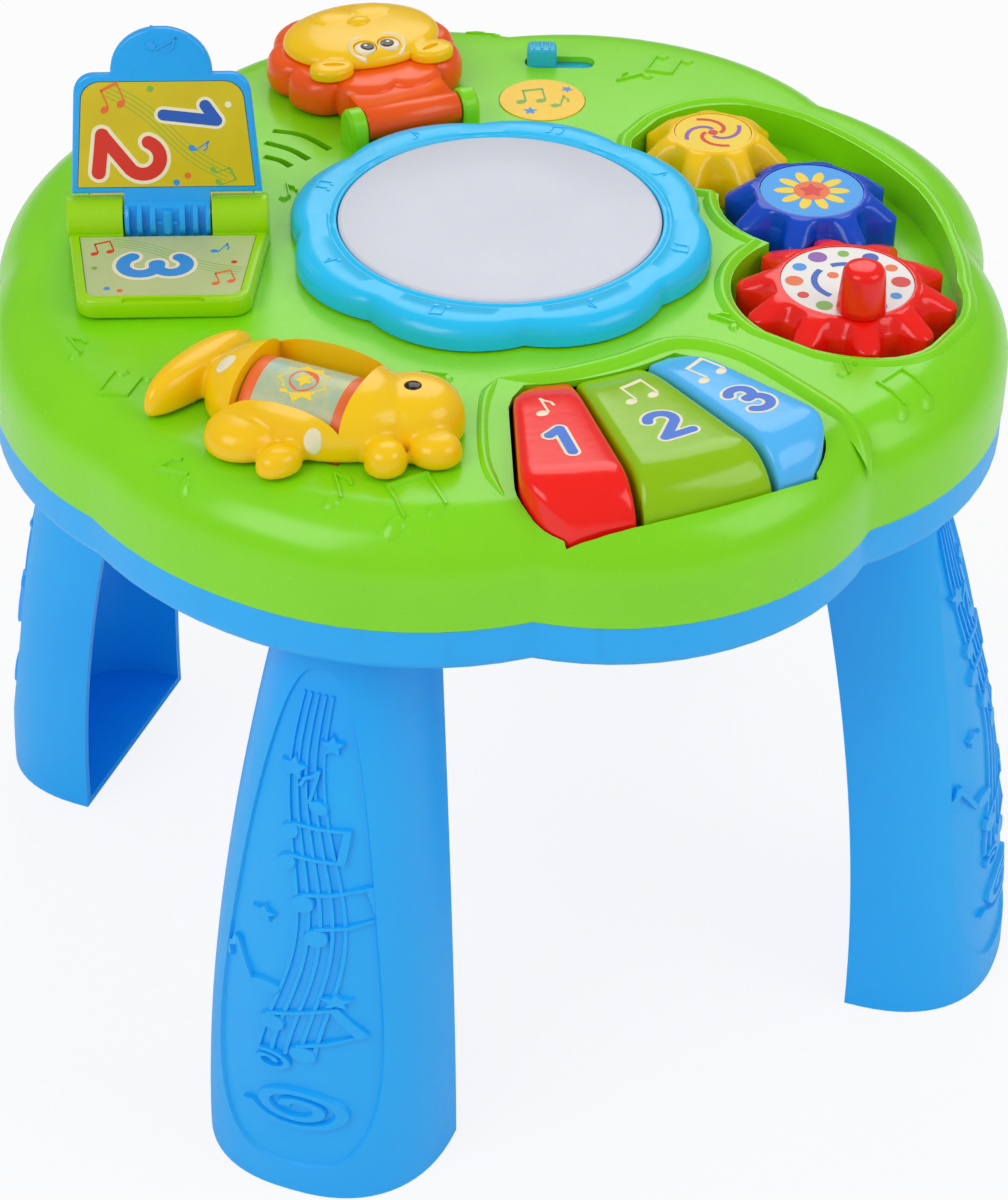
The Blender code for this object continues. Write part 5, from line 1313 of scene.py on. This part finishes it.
top = book["top"]
base = loft(
    bmesh.new(),
    [
        level(bookLoop(inset), height)
        for inset, height in (
            (0.0003, book["seat"]), (0.0, book["seat"] + 0.0006), (0.0, top - 0.0014),
            (0.0003, top - 0.0006), (0.0008, top - 0.0001), (0.0012, top),
        )
    ],
)
barrel = turned(
    bmesh.new(),
    [
        (book["barrel"] - 0.0007, -book["half"] + gap), (book["barrel"], -book["half"] + gap + 0.0007),
        (book["barrel"], book["half"] - gap - 0.0007), (book["barrel"] - 0.0007, book["half"] - gap),
    ],
    40, 0.0, book["hinge"], "X",
)
base = carve(base, barrel, "UNION")
cardFloor = top - book["recess"]
for side in (-1, 1):
    seat = [(side * x, side * y) for x, y in bookHalf(book["rim"], book["cardStart"])]
    base = carve(base, prism(bmesh.new(), seat, cardFloor, above))
slotHalf = book["knuckle"] + gap * 2
base = carve(
    base,
    box(
        bmesh.new(), (-slotHalf, -book["cardStart"], book["seat"] + wall / 2),
        (slotHalf, book["cardStart"], above),
    ),
)
base = drill(base, book["pin"] + gap, book["half"] - wall, 0.0, book["hinge"])
base = carve(
    base,
    prism(
        bmesh.new(), roundedBox(*book["finger"], 0.0, -book["reach"]), top - book["fingerDepth"], above,
    ),
)
makePiece("book_base_tray", base, ["bookLime"], "table", ["book_base"], bookMatrix)


def staff(bm, surface, u, v, length, turn, material):
    # four thin wavy lines across a card
    c, s = math.cos(math.radians(turn)), math.sin(math.radians(turn))
    for order in range(4):
        path = []
        for step in range(15):
            a = length * (step / 14 - 0.5)
            b = 0.0016 * order + 0.0016 * math.sin(math.tau * step / 14)
            path.append((u + a * c - b * s, v + a * s + b * c))
        inkLine(bm, surface, path, 0.00028, 0.00003, material, 0.97)


cardTop = cardFloor + gap + book["card"]
cards = {
    "book_card_front": (-1, "paleCard", "pale_green_card"),
    "book_card_rear": (1, "goldCard", "gold_card"),
}
for name, (side, finishName, slotName) in cards.items():
    outline = [(side * x, side * y) for x, y in bookHalf(book["rim"] + gap, book["cardStart"] + gap)]
    card = prism(bmesh.new(), outline, cardFloor + gap, cardTop)

    def onCard(u, v, height):
        return (-side * u, -side * v, cardTop + height)

    middle = book["cardMiddle"]
    staff(card, onCard, 0.002, middle + 0.004, 0.050, -24, 4)
    numeral(card, onCard, "3" if side < 0 else "4", -0.0035, middle, 0.0235, -90, 1, 2)
    for u, v, turn, kind, ink in (
        (0.0165, 0.0095, -30, 1, 1), (-0.0250, 0.0085, 15, 2, 3), (0.0175, -0.0120, 15, 2, 5),
    ):
        note(card, onCard, u, middle + v, 0.0055, turn, printFoot, inkHigh, kind, ink)
    for u, v, material in (
        (-0.0195, -0.0145, 1), (-0.0150, -0.0160, 5), (0.0235, 0.0020, 3), (-0.0245, -0.0010, 4),
    ):
        inked(card, onCard, circle(0.0011, 12, u, middle + v), inkHigh, material, 0.97)
    makePiece(
        name + "_sheet", card, [finishName, "skyInk", "creamInk", "redInk", "greenInk", "orangeInk"],
        "table", [name], bookMatrix,
    )

leafMatrix = bookMatrix @ Matrix.Translation((0.0, 0.0, book["hinge"])) @ Matrix.Rotation(
    math.radians(-leafSize["lean"]), 4, "X",
)


def leafEdge(inset, tab=True):
    corner = leafSize["corner"]
    half, end = leafSize["half"] - inset, leafSize["top"] - inset
    low, high = leafSize["start"] + inset, leafSize["length"] - inset
    points = [(half, low)]
    points += rounding(end - corner, high - corner, corner)
    if tab:
        for step in range(12):
            turn = math.radians(7.5 * step)
            points.append(
                (
                    (leafSize["tab"] - inset) * math.cos(turn),
                    high + leafSize["tabRise"] * math.sin(turn) ** 0.92,
                )
            )
    return points + [(-x, z) for x, z in reversed(points)]


def upright(outline, along):
    return [(x, along, z) for x, z in outline]


face = leafSize["thickness"] / 2
leaf = loft(
    bmesh.new(),
    [
        upright(leafEdge(inset), along)
        for inset, along in (
            (0.0008, -face), (0.0003, 0.0003 - face), (0.0, 0.0009 - face), (0.0, face - 0.0009),
            (0.0003, face - 0.0003), (0.0008, face),
        )
    ],
)
knuckleRadius = book["barrel"] - gap
loops = []
for x, share in (
    (-book["knuckle"], 0.94), (0.0007 - book["knuckle"], 1.0), (book["knuckle"] - 0.0007, 1.0),
    (book["knuckle"], 0.94),
):
    loop = [(x, face * share, leafSize["start"] + wall), (x, -face * share, leafSize["start"] + wall)]
    for step in range(33):
        turn = math.radians(110 + 10 * step)
        loop.append((x, knuckleRadius * share * math.cos(turn), knuckleRadius * share * math.sin(turn)))
    loops.append(loop)
leaf = carve(leaf, loft(bmesh.new(), loops), "UNION")
for side in (-1, 1):
    seat = loft(
        bmesh.new(),
        [
            upright(leafEdge(leafSize["rim"], False), side * along)
            for along in (face - book["card"] - gap, face + 0.01)
        ],
    )
    leaf = carve(leaf, seat)
openings = bmesh.new()
for x in leafSize["slots"]:
    box(
        openings, (x - leafSize["slotHalf"], -0.0100, -0.0068),
        (x + leafSize["slotHalf"], -0.0044, 0.0072),
    )
box(openings, (-0.0042, -0.0100, -0.0090), (0.0042, -0.0052, 0.0064))
leaf = drill(carve(leaf, openings), leafSize["bore"], book["half"])
boss = turned(
    bmesh.new(), [(0.0016, -0.0040), (0.0020, -0.0034), (0.0020, 0.0040), (0.0012, 0.0046)], 20, 0.0,
    -0.0056,
)
box(boss, (-0.0036, -0.0060, -0.0006), (0.0036, -0.0050, 0.0006))
fuse(leaf, boss)
note(
    leaf, lambda u, v, height: (u, -face - height, v), -0.0030, 0.0635, 0.0075, -60, -0.0004, 0.0004, 1,
    0, 0.75,
)
note(
    leaf, lambda u, v, height: (-u, face + height, v), -0.0030, 0.0600, 0.0060, 10, -0.0004, 0.0004, 2, 0,
    0.75,
)
makePiece("book_leaf_page", leaf, ["leafBlue"], "page", ["book_leaf"], leafMatrix)

leafCards = {
    "leaf_card_front": (-1, "goldCard", "gold_card"),
    "leaf_card_rear": (1, "paleCard", "pale_green_card"),
}
for name, (side, finishName, slotName) in leafCards.items():
    limits = (side * (face - book["card"]), side * face)
    card = loft(bmesh.new(), [upright(leafEdge(leafSize["rim"] + gap, False), along) for along in limits])

    def onLeaf(u, v, height):
        return (-side * u, side * (face + height), v)

    staff(card, onLeaf, 0.000, 0.0300, 0.052, -38, 6)
    if side < 0:
        numeral(card, onLeaf, "1", 0.0095, 0.0385, 0.0195, -97, 2, 3)
        numeral(card, onLeaf, "2", -0.0125, 0.0235, 0.0235, -98, 1, 3)
    else:
        numeral(card, onLeaf, "5", -0.0080, 0.0310, 0.0230, -90, 2, 3)
    for u, v, size, turn, kind, ink in (
        (-0.0200, 0.0405, 0.0060, 20, 2, 4), (0.0095, 0.0262, 0.0052, -55, 1, 5),
        (0.0165, 0.0180, 0.0048, -70, 2, 6),
    ):
        note(card, onLeaf, u, v, size, turn, printFoot, inkHigh, kind, ink)
    for u, v, material in (
        (0.0035, 0.0135, 5), (0.0075, 0.0160, 4), (0.0225, 0.0420, 3), (-0.0040, 0.0480, 6),
        (-0.0250, 0.0160, 3),
    ):
        inked(card, onLeaf, circle(0.0012, 12, u, v), inkHigh, material, 0.97)
    makePiece(
        name + "_sheet", card,
        [finishName, "redInk", "blueInk", "creamInk", "orangeInk", "skyInk", "greenInk"], "page",
        [name], leafMatrix,
    )
print("book done")


def drape(bm, across, upward):
    # lays marks on a shape, seen along the direction square to both
    tree = BVHTree.FromBMesh(bm)
    across, upward = Vector(across).normalized(), Vector(upward).normalized()
    outward = across.cross(upward)

    def surface(origin):
        def point(u, v, height):
            start = Vector(origin) + across * u + upward * v + outward * 0.05
            hit = tree.ray_cast(start, -outward)
            return (hit[0] if hit[0] else start - outward * 0.05) + outward * height
        return point

    return surface


# lion: a scalloped mane and a domed face that flip up together on a steel pin
lionMatrix = stationMatrix(lion["angle"]) @ Matrix.Translation((0.0, lion["hinge"], lion["height"]))
mane = {
    "reach": 0.0470, "radius": 0.0375, "scallop": 0.0042, "lobes": 9, "low": -0.0063, "high": 0.0070,
    "hollow": 0.0295, "hollowTop": 0.0030,
}
lionFace = {
    "half": (0.0305, 0.0235), "reach": 0.0500, "low": 0.0073, "high": 0.0140, "ear": 0.0085,
    "eye": 0.0042, "spread": 0.0048, "eyeReach": 0.03355, "slit": (0.0042, 0.0013), "patch": 0.0053,
    "eyeDome": (
        (0.0, 0.0), (1.0, 0.0), (1.0, 0.0009), (0.95, 0.0013), (0.82, 0.0016), (0.6, 0.0018),
        (0.3, 0.0019), (0.0, 0.0019),
    ),
}


def maneLoop(share, height, steps=14):
    points = []
    for step in range(mane["lobes"] * steps):
        off = abs(2 * (step % steps) / steps - 1)
        angle = math.radians(90 + 360 * (step / steps - 0.5) / mane["lobes"])
        radius = (mane["radius"] - mane["scallop"] * off ** 3) * share
        points.append((radius * math.cos(angle), mane["reach"] + radius * math.sin(angle), height))
    return points


deep = mane["high"] - mane["low"]
shape = loft(
    bmesh.new(),
    [
        maneLoop(share, mane["low"] + deep * height)
        for share, height in (
            (0.965, 0.0), (0.985, 0.06), (1.0, 0.20), (1.0, 0.46), (0.992, 0.62), (0.975, 0.76),
            (0.95, 0.87), (0.915, 0.945), (0.87, 0.985), (0.82, 1.0),
        )
    ],
)
shape = carve(
    shape,
    prism(
        bmesh.new(), circle(mane["hollow"], 64, 0.0, mane["reach"]), mane["low"] - 0.01,
        mane["hollowTop"],
    ),
)
loops = []
for x, share in (
    (-lion["half"], 0.93), (0.0006 - lion["half"], 1.0), (lion["half"] - 0.0006, 1.0),
    (lion["half"], 0.93),
):
    neckReach, neckHalf = lion["neck"]
    loop = [(x, neckReach, -neckHalf * share), (x, neckReach, neckHalf * share)]
    for step in range(29):
        turn = math.radians(53 + 254 * step / 28)
        loop.append((x, lion["barrel"] * share * math.cos(turn), lion["barrel"] * share * math.sin(turn)))
    loops.append(loop)
shape = carve(shape, loft(bmesh.new(), loops), "UNION")
shape = drill(shape, lion["pin"] + lion["running"], lion["half"] * 2)
makePiece(
    "lion_scalloped_mane", shape, ["maneOrange"], "lion", ["lion_mane"], lionMatrix,
)

low, deep = lionFace["low"], lionFace["high"] - lionFace["low"]
dome = (
    (0.985, 0.0), (1.0, 0.07), (1.0, 0.25), (0.985, 0.42), (0.95, 0.58), (0.88, 0.73), (0.77, 0.85),
    (0.62, 0.935), (0.42, 0.985), (0.2, 1.0), (0.05, 1.0),
)
shape = domed(*lionFace["half"], 72, 0.0, lionFace["reach"], 0.0, low, deep, dome)
earDome = (
    (0.98, 0.0), (1.0, 0.08), (1.0, 0.36), (0.96, 0.48), (0.88, 0.56), (0.76, 0.61), (0.5, 0.63),
    (0.1, 0.63),
)
slitDome = ((0.7, 0.38), (0.95, 0.44), (1.0, 0.62), (1.15, 0.80))
bumpDome = ((1.0, 0.0), (0.97, 0.35), (0.88, 0.6), (0.70, 0.82), (0.42, 0.96), (0.1, 1.0))
for side in (-1, 1):
    x, y = side * lionFace["half"][0] * 0.66, lionFace["reach"] - lionFace["half"][1] + lionFace["ear"] * 0.25
    shape = carve(
        shape, domed(lionFace["ear"], lionFace["ear"] * 0.8, 40, x, y, 0.0, low, deep, earDome), "UNION",
    )
    shape = carve(
        shape,
        domed(*lionFace["slit"], 24, x - side * 0.0006, y - 0.0008, side * 22, low, deep, slitDome),
    )
for x, y, halfX, halfY, crest in (
    (-0.0075, 0.0595, 0.0095, 0.0075, 1.13), (0.0075, 0.0595, 0.0095, 0.0075, 1.13),
    (0.0, 0.0525, 0.0050, 0.0036, 1.24),
):
    # cheeks and nose
    bump = domed(halfX, halfY, 32, x, y, 0.0, low + deep * 0.75, deep * (crest - 0.75), bumpDome)
    shape = carve(shape, bump, "UNION")
smile = [(x, 0.0680 - 18.0 * x * x) for x in (-0.0090, -0.0060, -0.0030, 0.0, 0.0030, 0.0060, 0.0090)]
sockets = bmesh.new()
eyeFloor = low + deep * 0.60
for side in (-1, 1):
    prism(
        sockets, circle(lionFace["eye"] + gap, 40, side * lionFace["spread"], lionFace["eyeReach"]),
        eyeFloor, 0.03,
    )
shape = carve(shape, sockets)
onFace = drape(shape, (1, 0, 0), (0, 1, 0))((0.0, 0.0, 0.0))
ribbon(shape, onFace, smile, 0.0009, -0.0003, 0.0002, 0, 0.8)
for side in (-1, 1):
    # pale patch round the outer side of each eye
    path = [
        (
            side * (lionFace["spread"] + lionFace["patch"] * math.cos(math.radians(-75 + 13 * step))),
            lionFace["eyeReach"] + lionFace["patch"] * math.sin(math.radians(-75 + 13 * step)),
        )
        for step in range(14)
    ]
    ribbon(shape, onFace, path, 0.0026, -0.0003, 0.0006, 1, 0.85)
makePiece(
    "lion_domed_face", shape, ["sunYellow", "creamInk"], "lion", ["lion_face"],
    lionMatrix,
)
for name, side in (("lion_eye_left", -1), ("lion_eye_right", 1)):
    x, y, size = side * lionFace["spread"], lionFace["eyeReach"], lionFace["eye"]
    height = eyeFloor + gap
    eye = turned(
        bmesh.new(), [(size * share, height + rise) for share, rise in lionFace["eyeDome"]], 40, x, y,
    )
    onEye = drape(eye, (1, 0, 0), (0, 1, 0))((0.0, 0.0, 0.0))
    inked(eye, onEye, ellipse(0.0027, 0.0029, 28, x - side * 0.0008, y - 0.0004), 0.00012, 1, 0.96)
    inked(eye, onEye, ellipse(0.0019, 0.0021, 24, x - side * 0.0008, y - 0.0006), 0.00020, 2, 0.96)
    inked(eye, onEye, circle(0.00075, 16, x - side * 0.0003, y + 0.0002), 0.00028, 0, 0.9)
    makePiece(
        name + "_disc", eye, ["creamInk", "brownInk", "inkBlack"], "lion", [name],
        lionMatrix,
    )
print("lion done")

# lying animal: soft rounded lumps melted into one body, over its picture roller
animalMatrix = stationMatrix(animal["angle"])
animalFloor = deckLevel(animal["radius"] - animal["half"][1] * 1.3) + gap
bulge = (
    (0.97, 0.0), (1.0, 0.05), (1.0, 0.30), (0.985, 0.44), (0.95, 0.58), (0.89, 0.71), (0.80, 0.82),
    (0.68, 0.91), (0.50, 0.97), (0.28, 1.0), (0.05, 1.0),
)
lumps = {
    "body": (0.27, -0.04, 1.0, 1.0, 1.0, 0), "head": (-0.62, -0.38, 0.46, 0.66, 0.80, 20),
    "snout": (-0.98, 0.12, 0.24, 0.34, 0.42, 10), "front_leg": (-0.66, 0.62, 0.19, 0.30, 0.46, 0),
    "thigh": (0.62, 0.86, 0.36, 0.52, 0.50, 30), "hind_foot": (0.17, 1.22, 0.22, 0.26, 0.38, 60),
    "tail": (1.42, -0.18, 0.20, 1.08, 0.62, -14),
}
body = bmesh.new()
for acrossShare, alongShare, halfX, halfY, crest, turn in lumps.values():
    x, y = animal["half"][0] * acrossShare, animal["radius"] + animal["half"][1] * alongShare
    domed(
        animal["half"][0] * halfX, animal["half"][1] * halfY, 48, x, y, turn, animalFloor,
        animal["crest"] * crest, bulge, body,
    )
bmesh.ops.recalc_face_normals(body, faces=body.faces)
mesh = bpy.data.meshes.new("melting")
body.to_mesh(mesh)
body.free()
melting = bpy.data.objects.new("melting", mesh)
scene.collection.objects.link(melting)
remesh = melting.modifiers.new("melt", "REMESH")
remesh.mode = "VOXEL"
remesh.voxel_size = animal["voxel"]
ease = melting.modifiers.new("ease", "SMOOTH")
ease.factor, ease.iterations = animal["easing"]
body = bmesh.new()
body.from_mesh(melting.evaluated_get(bpy.context.evaluated_depsgraph_get()).data)
bpy.data.meshes.remove(mesh)
for face in body.faces:
    face.material_index = 0
keep = animal["rollerHalf"] + gap * 2
body = carve(
    body,
    box(
        bmesh.new(), (animal["shift"] - keep, animal["radius"] - wellHalf, animalFloor - 0.01),
        (animal["shift"] + keep, animal["radius"] + wellHalf, above + 0.02),
    ),
)
reach = animal["axle"] + gap
body = carve(
    body,
    box(
        bmesh.new(), (animal["shift"] - animal["notch"], animal["radius"] - reach, animalFloor - 0.01),
        (animal["shift"] + animal["notch"], animal["radius"] + reach, table["height"] + reach),
    ),
)
eyePlace = (-0.62 * animal["half"][0], animal["radius"] - 0.38 * animal["half"][1])
eyeSeat = animalFloor + 0.80 * animal["crest"] - animal["eyeDepth"]
body = carve(body, prism(bmesh.new(), circle(animal["eye"] + gap, 32, *eyePlace), eyeSeat, above + 0.02))
# painted highlights: two cream spots laid on the body as seen from the camera, standing in for the lamps'
# shine on the glossy yellow
paintedHighlightSurface = drape(body, (-1, 0, 0), (0, -0.62, 0.78))
for place, halfX, halfY, turn in (
    ((-0.0020, 0.1550, animalFloor + 0.0105), 0.0026, 0.0038, -8),
    ((0.0370, 0.1330, animalFloor + 0.0150), 0.0022, 0.0034, -30),
):
    blob(
        body, paintedHighlightSurface(place), ellipse(halfX * 1.15, halfY * 1.15, 24, 0.0, 0.0, turn), -0.0003, 0.0008, 1,
        0.88,
    )
onHead = drape(body, (-1, 0, 0), (0, -1, 0))((0.0, 0.0, 0.0))
ribbon(
    body, onHead,
    [
        (-eyePlace[0] + 0.0034 * math.cos(turn) - 0.0004, -eyePlace[1] + 0.0034 * math.sin(turn))
        for turn in (math.radians(20 * step + 90) for step in range(10))
    ],
    0.0012, -0.0003, 0.00012, 1, 0.9,
)
makePiece(
    "animal_soft_body", body, ["sunYellow", "creamInk"], "table", ["animal_body"],
    animalMatrix, 50.0,
)
eye = turned(
    bmesh.new(),
    [
        (0.0, eyeSeat + gap), (animal["eye"], eyeSeat + gap), (animal["eye"], eyeSeat + 0.0010),
        (0.0023, eyeSeat + 0.0014), (0.0015, eyeSeat + 0.0016), (0.0, eyeSeat + 0.0017),
    ],
    36, *eyePlace,
)
onEye = drape(eye, (1, 0, 0), (0, 1, 0))((0.0, 0.0, 0.0))
inked(eye, onEye, circle(0.0007, 14, eyePlace[0] + 0.0006, eyePlace[1] - 0.0004), 0.00014, 1, 0.9)
makePiece(
    "animal_glossy_eye", eye, ["inkBlack", "creamInk"], "table", ["animal_eye"],
    animalMatrix,
)

half, radius, tip = animal["rollerHalf"], animal["roller"], animal["rollerHalf"] + animal["axleLength"]
profile = [
    (0.0, -tip), (animal["axle"] - 0.0003, -tip), (animal["axle"], 0.0003 - tip), (animal["axle"], -half),
    (radius - 0.0008, -half), (radius - 0.0002, 0.0003 - half), (radius, 0.0009 - half),
]
profile += [(radius, -offset) for offset in animal["bandEdges"]] + [(radius, 0.0)]
profile += [(size, -height) for size, height in reversed(profile[:-1])]
drumRoll = turned(
    bmesh.new(), [(size, animal["shift"] + height) for size, height in profile], 72, animal["radius"],
    table["height"], "X",
)
for face in drumRoll.faces:
    off = abs(face.calc_center_median().x - animal["shift"])
    face.material_index = 1 if animal["band"] < off < half - 0.0001 else (
        2 if off >= half - 0.0001 else 0
    )


def onRoller(u, v, height):
    turn = v / radius
    return (
        animal["shift"] + u, animal["radius"] + (radius + height) * math.sin(turn),
        table["height"] + (radius + height) * math.cos(turn),
    )


for order, (ink, heart) in enumerate(((3, 4), (5, 3), (6, 3))):
    along = math.tau / 3 * order * radius + 0.003
    blob(drumRoll, onRoller, star(9, 0.0092, 0.0070, 0.0, along, 8), -0.0003, inkHigh, ink, 0.98)
    blob(drumRoll, onRoller, circle(0.0050, 28, 0.0, along), -0.0003, 0.00010, heart, 0.98)
    blob(drumRoll, onRoller, star(5, 0.0034, 0.0017, 0.0, along, 90), -0.0003, 0.00014, ink, 0.98)
makePiece(
    "animal_picture_roller", drumRoll,
    ["skyMist", "orangeInk", "creamInk", "yellowInk", "orangeInk", "redInk", "skyInk"], "picture_roller",
    ["roller"], animalMatrix,
)
print("animal done")

# slide switch and label disc
knobX = switch["place"][0] - switch["travel"] / 2
knobY = switch["place"][1]
switchDeck = deckLevel(math.hypot(*switch["place"])) - wall
knobTop = switchDeck + wall + switch["rise"]
knobShape = loft(
    bmesh.new(),
    [
        level(
            roundedBox(
                switch["knob"][0] / 2 * share, switch["knob"][1] / 2 * share, 0.0016 * share, knobX,
                knobY,
            ),
            height,
        )
        for share, height in (
            (1.0, switchDeck - 0.0011), (1.0, knobTop - 0.0022), (0.985, knobTop - 0.0013),
            (0.94, knobTop - 0.0006), (0.86, knobTop - 0.0001), (0.78, knobTop),
        )
    ],
)
plateY = switch["slot"][1] / 2 + switch["margin"]
plate = prism(
    bmesh.new(), roundedBox(switch["plate"], plateY, 0.001, knobX, knobY), switchDeck - 0.0019,
    switchDeck - 0.0003,
)
knobShape = carve(knobShape, plate, "UNION")
for x in (-0.0030, 0.0, 0.0030):
    ribbon(
        knobShape, lambda u, v, height: (u, v, knobTop + height),
        [(knobX + x, knobY - 0.0030), (knobX + x, knobY), (knobX + x, knobY + 0.0030)], 0.0012, -0.0003,
        0.0004, 0, 0.5,
    )
makePiece("switch_ridged_knob", knobShape, ["switchCyan"], "switch", ["switch_knob"])
labelTop = deckLevel(math.hypot(*label["place"])) + gap
disc = loft(
    bmesh.new(),
    [
        level(circle(label["radius"] - inset, 64, *label["place"]), height)
        for inset, height in (
            (0.0, labelTop - label["thickness"]), (0.0, labelTop - 0.0002), (0.0002, labelTop),
        )
    ],
)
onLabel = lambda u, v, height: (label["place"][0] + u, label["place"][1] + v, labelTop + height)
note(disc, onLabel, -0.0080, -0.0020, 0.0075, 8, printFoot, 0.00008, 2, 1)
note(disc, onLabel, 0.0050, -0.0045, 0.0070, -10, printFoot, 0.00008, 1, 1)
inked(disc, onLabel, star(5, 0.0030, 0.0014, -0.0045, -0.0090, 90), 0.00008, 2, 0.97)
inked(disc, onLabel, star(5, 0.0026, 0.0012, 0.0095, 0.0085, 60), 0.00008, 2, 0.97)
makePiece(
    "label_sun_disc", disc, ["sunYellow", "greenInk", "skyInk"], "table",
    ["label_disc"],
)

# finishes on the inner parts that keep their own solids
inner = {
    "battery_door": "blueShell", "door_screw": "steel", "case_screw": "steel", "cell_": "cell",
    "contact": "steel", "board": "board",
    "dome": "rubber", "mat": "rubber", "speaker": "blackPlastic", "pin": "steel", "gear_screw": "steel",
}
for name, node in nodes.items():
    for part, finishName in inner.items():
        if part in name:
            for index in range(len(node.data.materials)):
                node.data.materials[index] = finishes[finishName]
print("small parts done")

# stage: a plain white floor that keeps the shadow, soft lamps and the camera
floorMesh = bmesh.new()
bmesh.ops.create_grid(floorMesh, x_segments=1, y_segments=1, size=6.0)
mesh = bpy.data.meshes.new("floor")
floorMesh.to_mesh(mesh)
floorMesh.free()
floor = bpy.data.objects.new("floor", mesh)
floor.location = (0.0, 0.0, -0.0004)
scene.collection.objects.link(floor)
floor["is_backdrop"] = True
paper = bpy.data.materials.new("matt_white_paper_floor")
paper.use_nodes = True
tree = paper.node_tree
tree.nodes["Principled BSDF"].inputs["Base Color"].default_value = linear("f4f4f4")
tree.nodes["Principled BSDF"].inputs["Roughness"].default_value = 0.9
glow = addNode(tree, "ShaderNodeEmission", {"Color": (1.0, 1.0, 1.0, 1.0), "Strength": 1.0})
seen = addNode(tree, "ShaderNodeLightPath")
amount = addNode(
    tree, "ShaderNodeMath", {"operation": "MULTIPLY", 1: 0.86}, ((seen, "Is Camera Ray", 0),),
)
addNode(
    tree, "ShaderNodeMixShader", {"name": "blend"},
    ((amount, 0, 0), (tree.nodes["Principled BSDF"], 0, 1), (glow, 0, 2)),
)
tree.links.new(tree.nodes["blend"].outputs[0], tree.nodes["Material Output"].inputs[0])
floor.data.materials.append(paper)

world = bpy.data.worlds.new("studio")
scene.world = world
world.use_nodes = True
tree = world.node_tree
tree.nodes["Background"].inputs["Color"].default_value = (1.0, 1.0, 1.0, 1.0)
bright = addNode(tree, "ShaderNodeBackground", {"Color": (1.0, 1.0, 1.0, 1.0), "Strength": 1.0})
seen = addNode(tree, "ShaderNodeLightPath")
sight = addNode(
    tree, "ShaderNodeMath", {"operation": "MAXIMUM"},
    ((seen, "Is Camera Ray", 0), (seen, "Is Transmission Ray", 1)),
)
dimmed = addNode(
    tree, "ShaderNodeMapRange", {"To Min": 0.60, "To Max": 0.22}, ((seen, "Is Glossy Ray", 0),),
)
tree.links.new(dimmed.outputs[0], tree.nodes["Background"].inputs["Strength"])
addNode(
    tree, "ShaderNodeMixShader", {"name": "blend"},
    ((sight, 0, 0), (tree.nodes["Background"], 0, 1), (bright, 0, 2)),
)
tree.links.new(tree.nodes["blend"].outputs[0], tree.nodes["World Output"].inputs[0])
lamps = {
    "left_softbox": {"place": (-0.9, -0.9, 1.25), "size": 0.9, "power": 7.0},
    "right_softbox": {"place": (1.1, -0.5, 1.1), "size": 0.8, "power": 4.0},
    "rear_softbox": {"place": (0.1, 1.2, 1.3), "size": 0.9, "power": 4.5},
}
for name, lamp in lamps.items():
    light = bpy.data.lights.new(name, "AREA")
    light.shape = "SQUARE"
    light.size = lamp["size"]
    light.energy = lamp["power"]
    holder = bpy.data.objects.new(name, light)
    holder.location = lamp["place"]
    holder.rotation_euler = (
        Vector((0.0, 0.0, 0.2)) - Vector(lamp["place"])
    ).to_track_quat("-Z", "Y").to_euler()
    scene.collection.objects.link(holder)

# camera from the photograph: 3224 px focal length on a 1008 x 1200 px frame
view = {
    "place": (0.0, -0.9898, 0.8619), "focal": 3224.0, "pitch": 0.64914, "yaw": 0.0032, "roll": 0.0131,
    "centre": (503.8, 614.1), "frame": (1008, 1200),
}
lens = bpy.data.cameras.new("photo_camera")
lens.sensor_width = 36.0
lens.lens = view["focal"] * 36.0 / view["frame"][1]
lens.shift_x = (view["frame"][0] / 2 - view["centre"][0]) / view["frame"][1]
lens.shift_y = (view["centre"][1] - view["frame"][1] / 2) / view["frame"][1]
lens.clip_start, lens.clip_end = 0.05, 20.0
camera = bpy.data.objects.new("photo_camera", lens)
forward = Vector(
    (
        math.sin(view["yaw"]) * math.cos(view["pitch"]), math.cos(view["yaw"]) * math.cos(view["pitch"]),
        -math.sin(view["pitch"]),
    )
)
side = forward.cross(Vector((0.0, 0.0, 1.0))).normalized()
upward = side.cross(forward)
c, s = math.cos(view["roll"]), math.sin(view["roll"])
axes = Matrix((c * side + s * upward, c * upward - s * side, -forward)).transposed()
camera.matrix_world = Matrix.Translation(view["place"]) @ axes.to_4x4()
scene.collection.objects.link(camera)
scene.camera = camera

low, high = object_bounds()
list(low)
list(high)
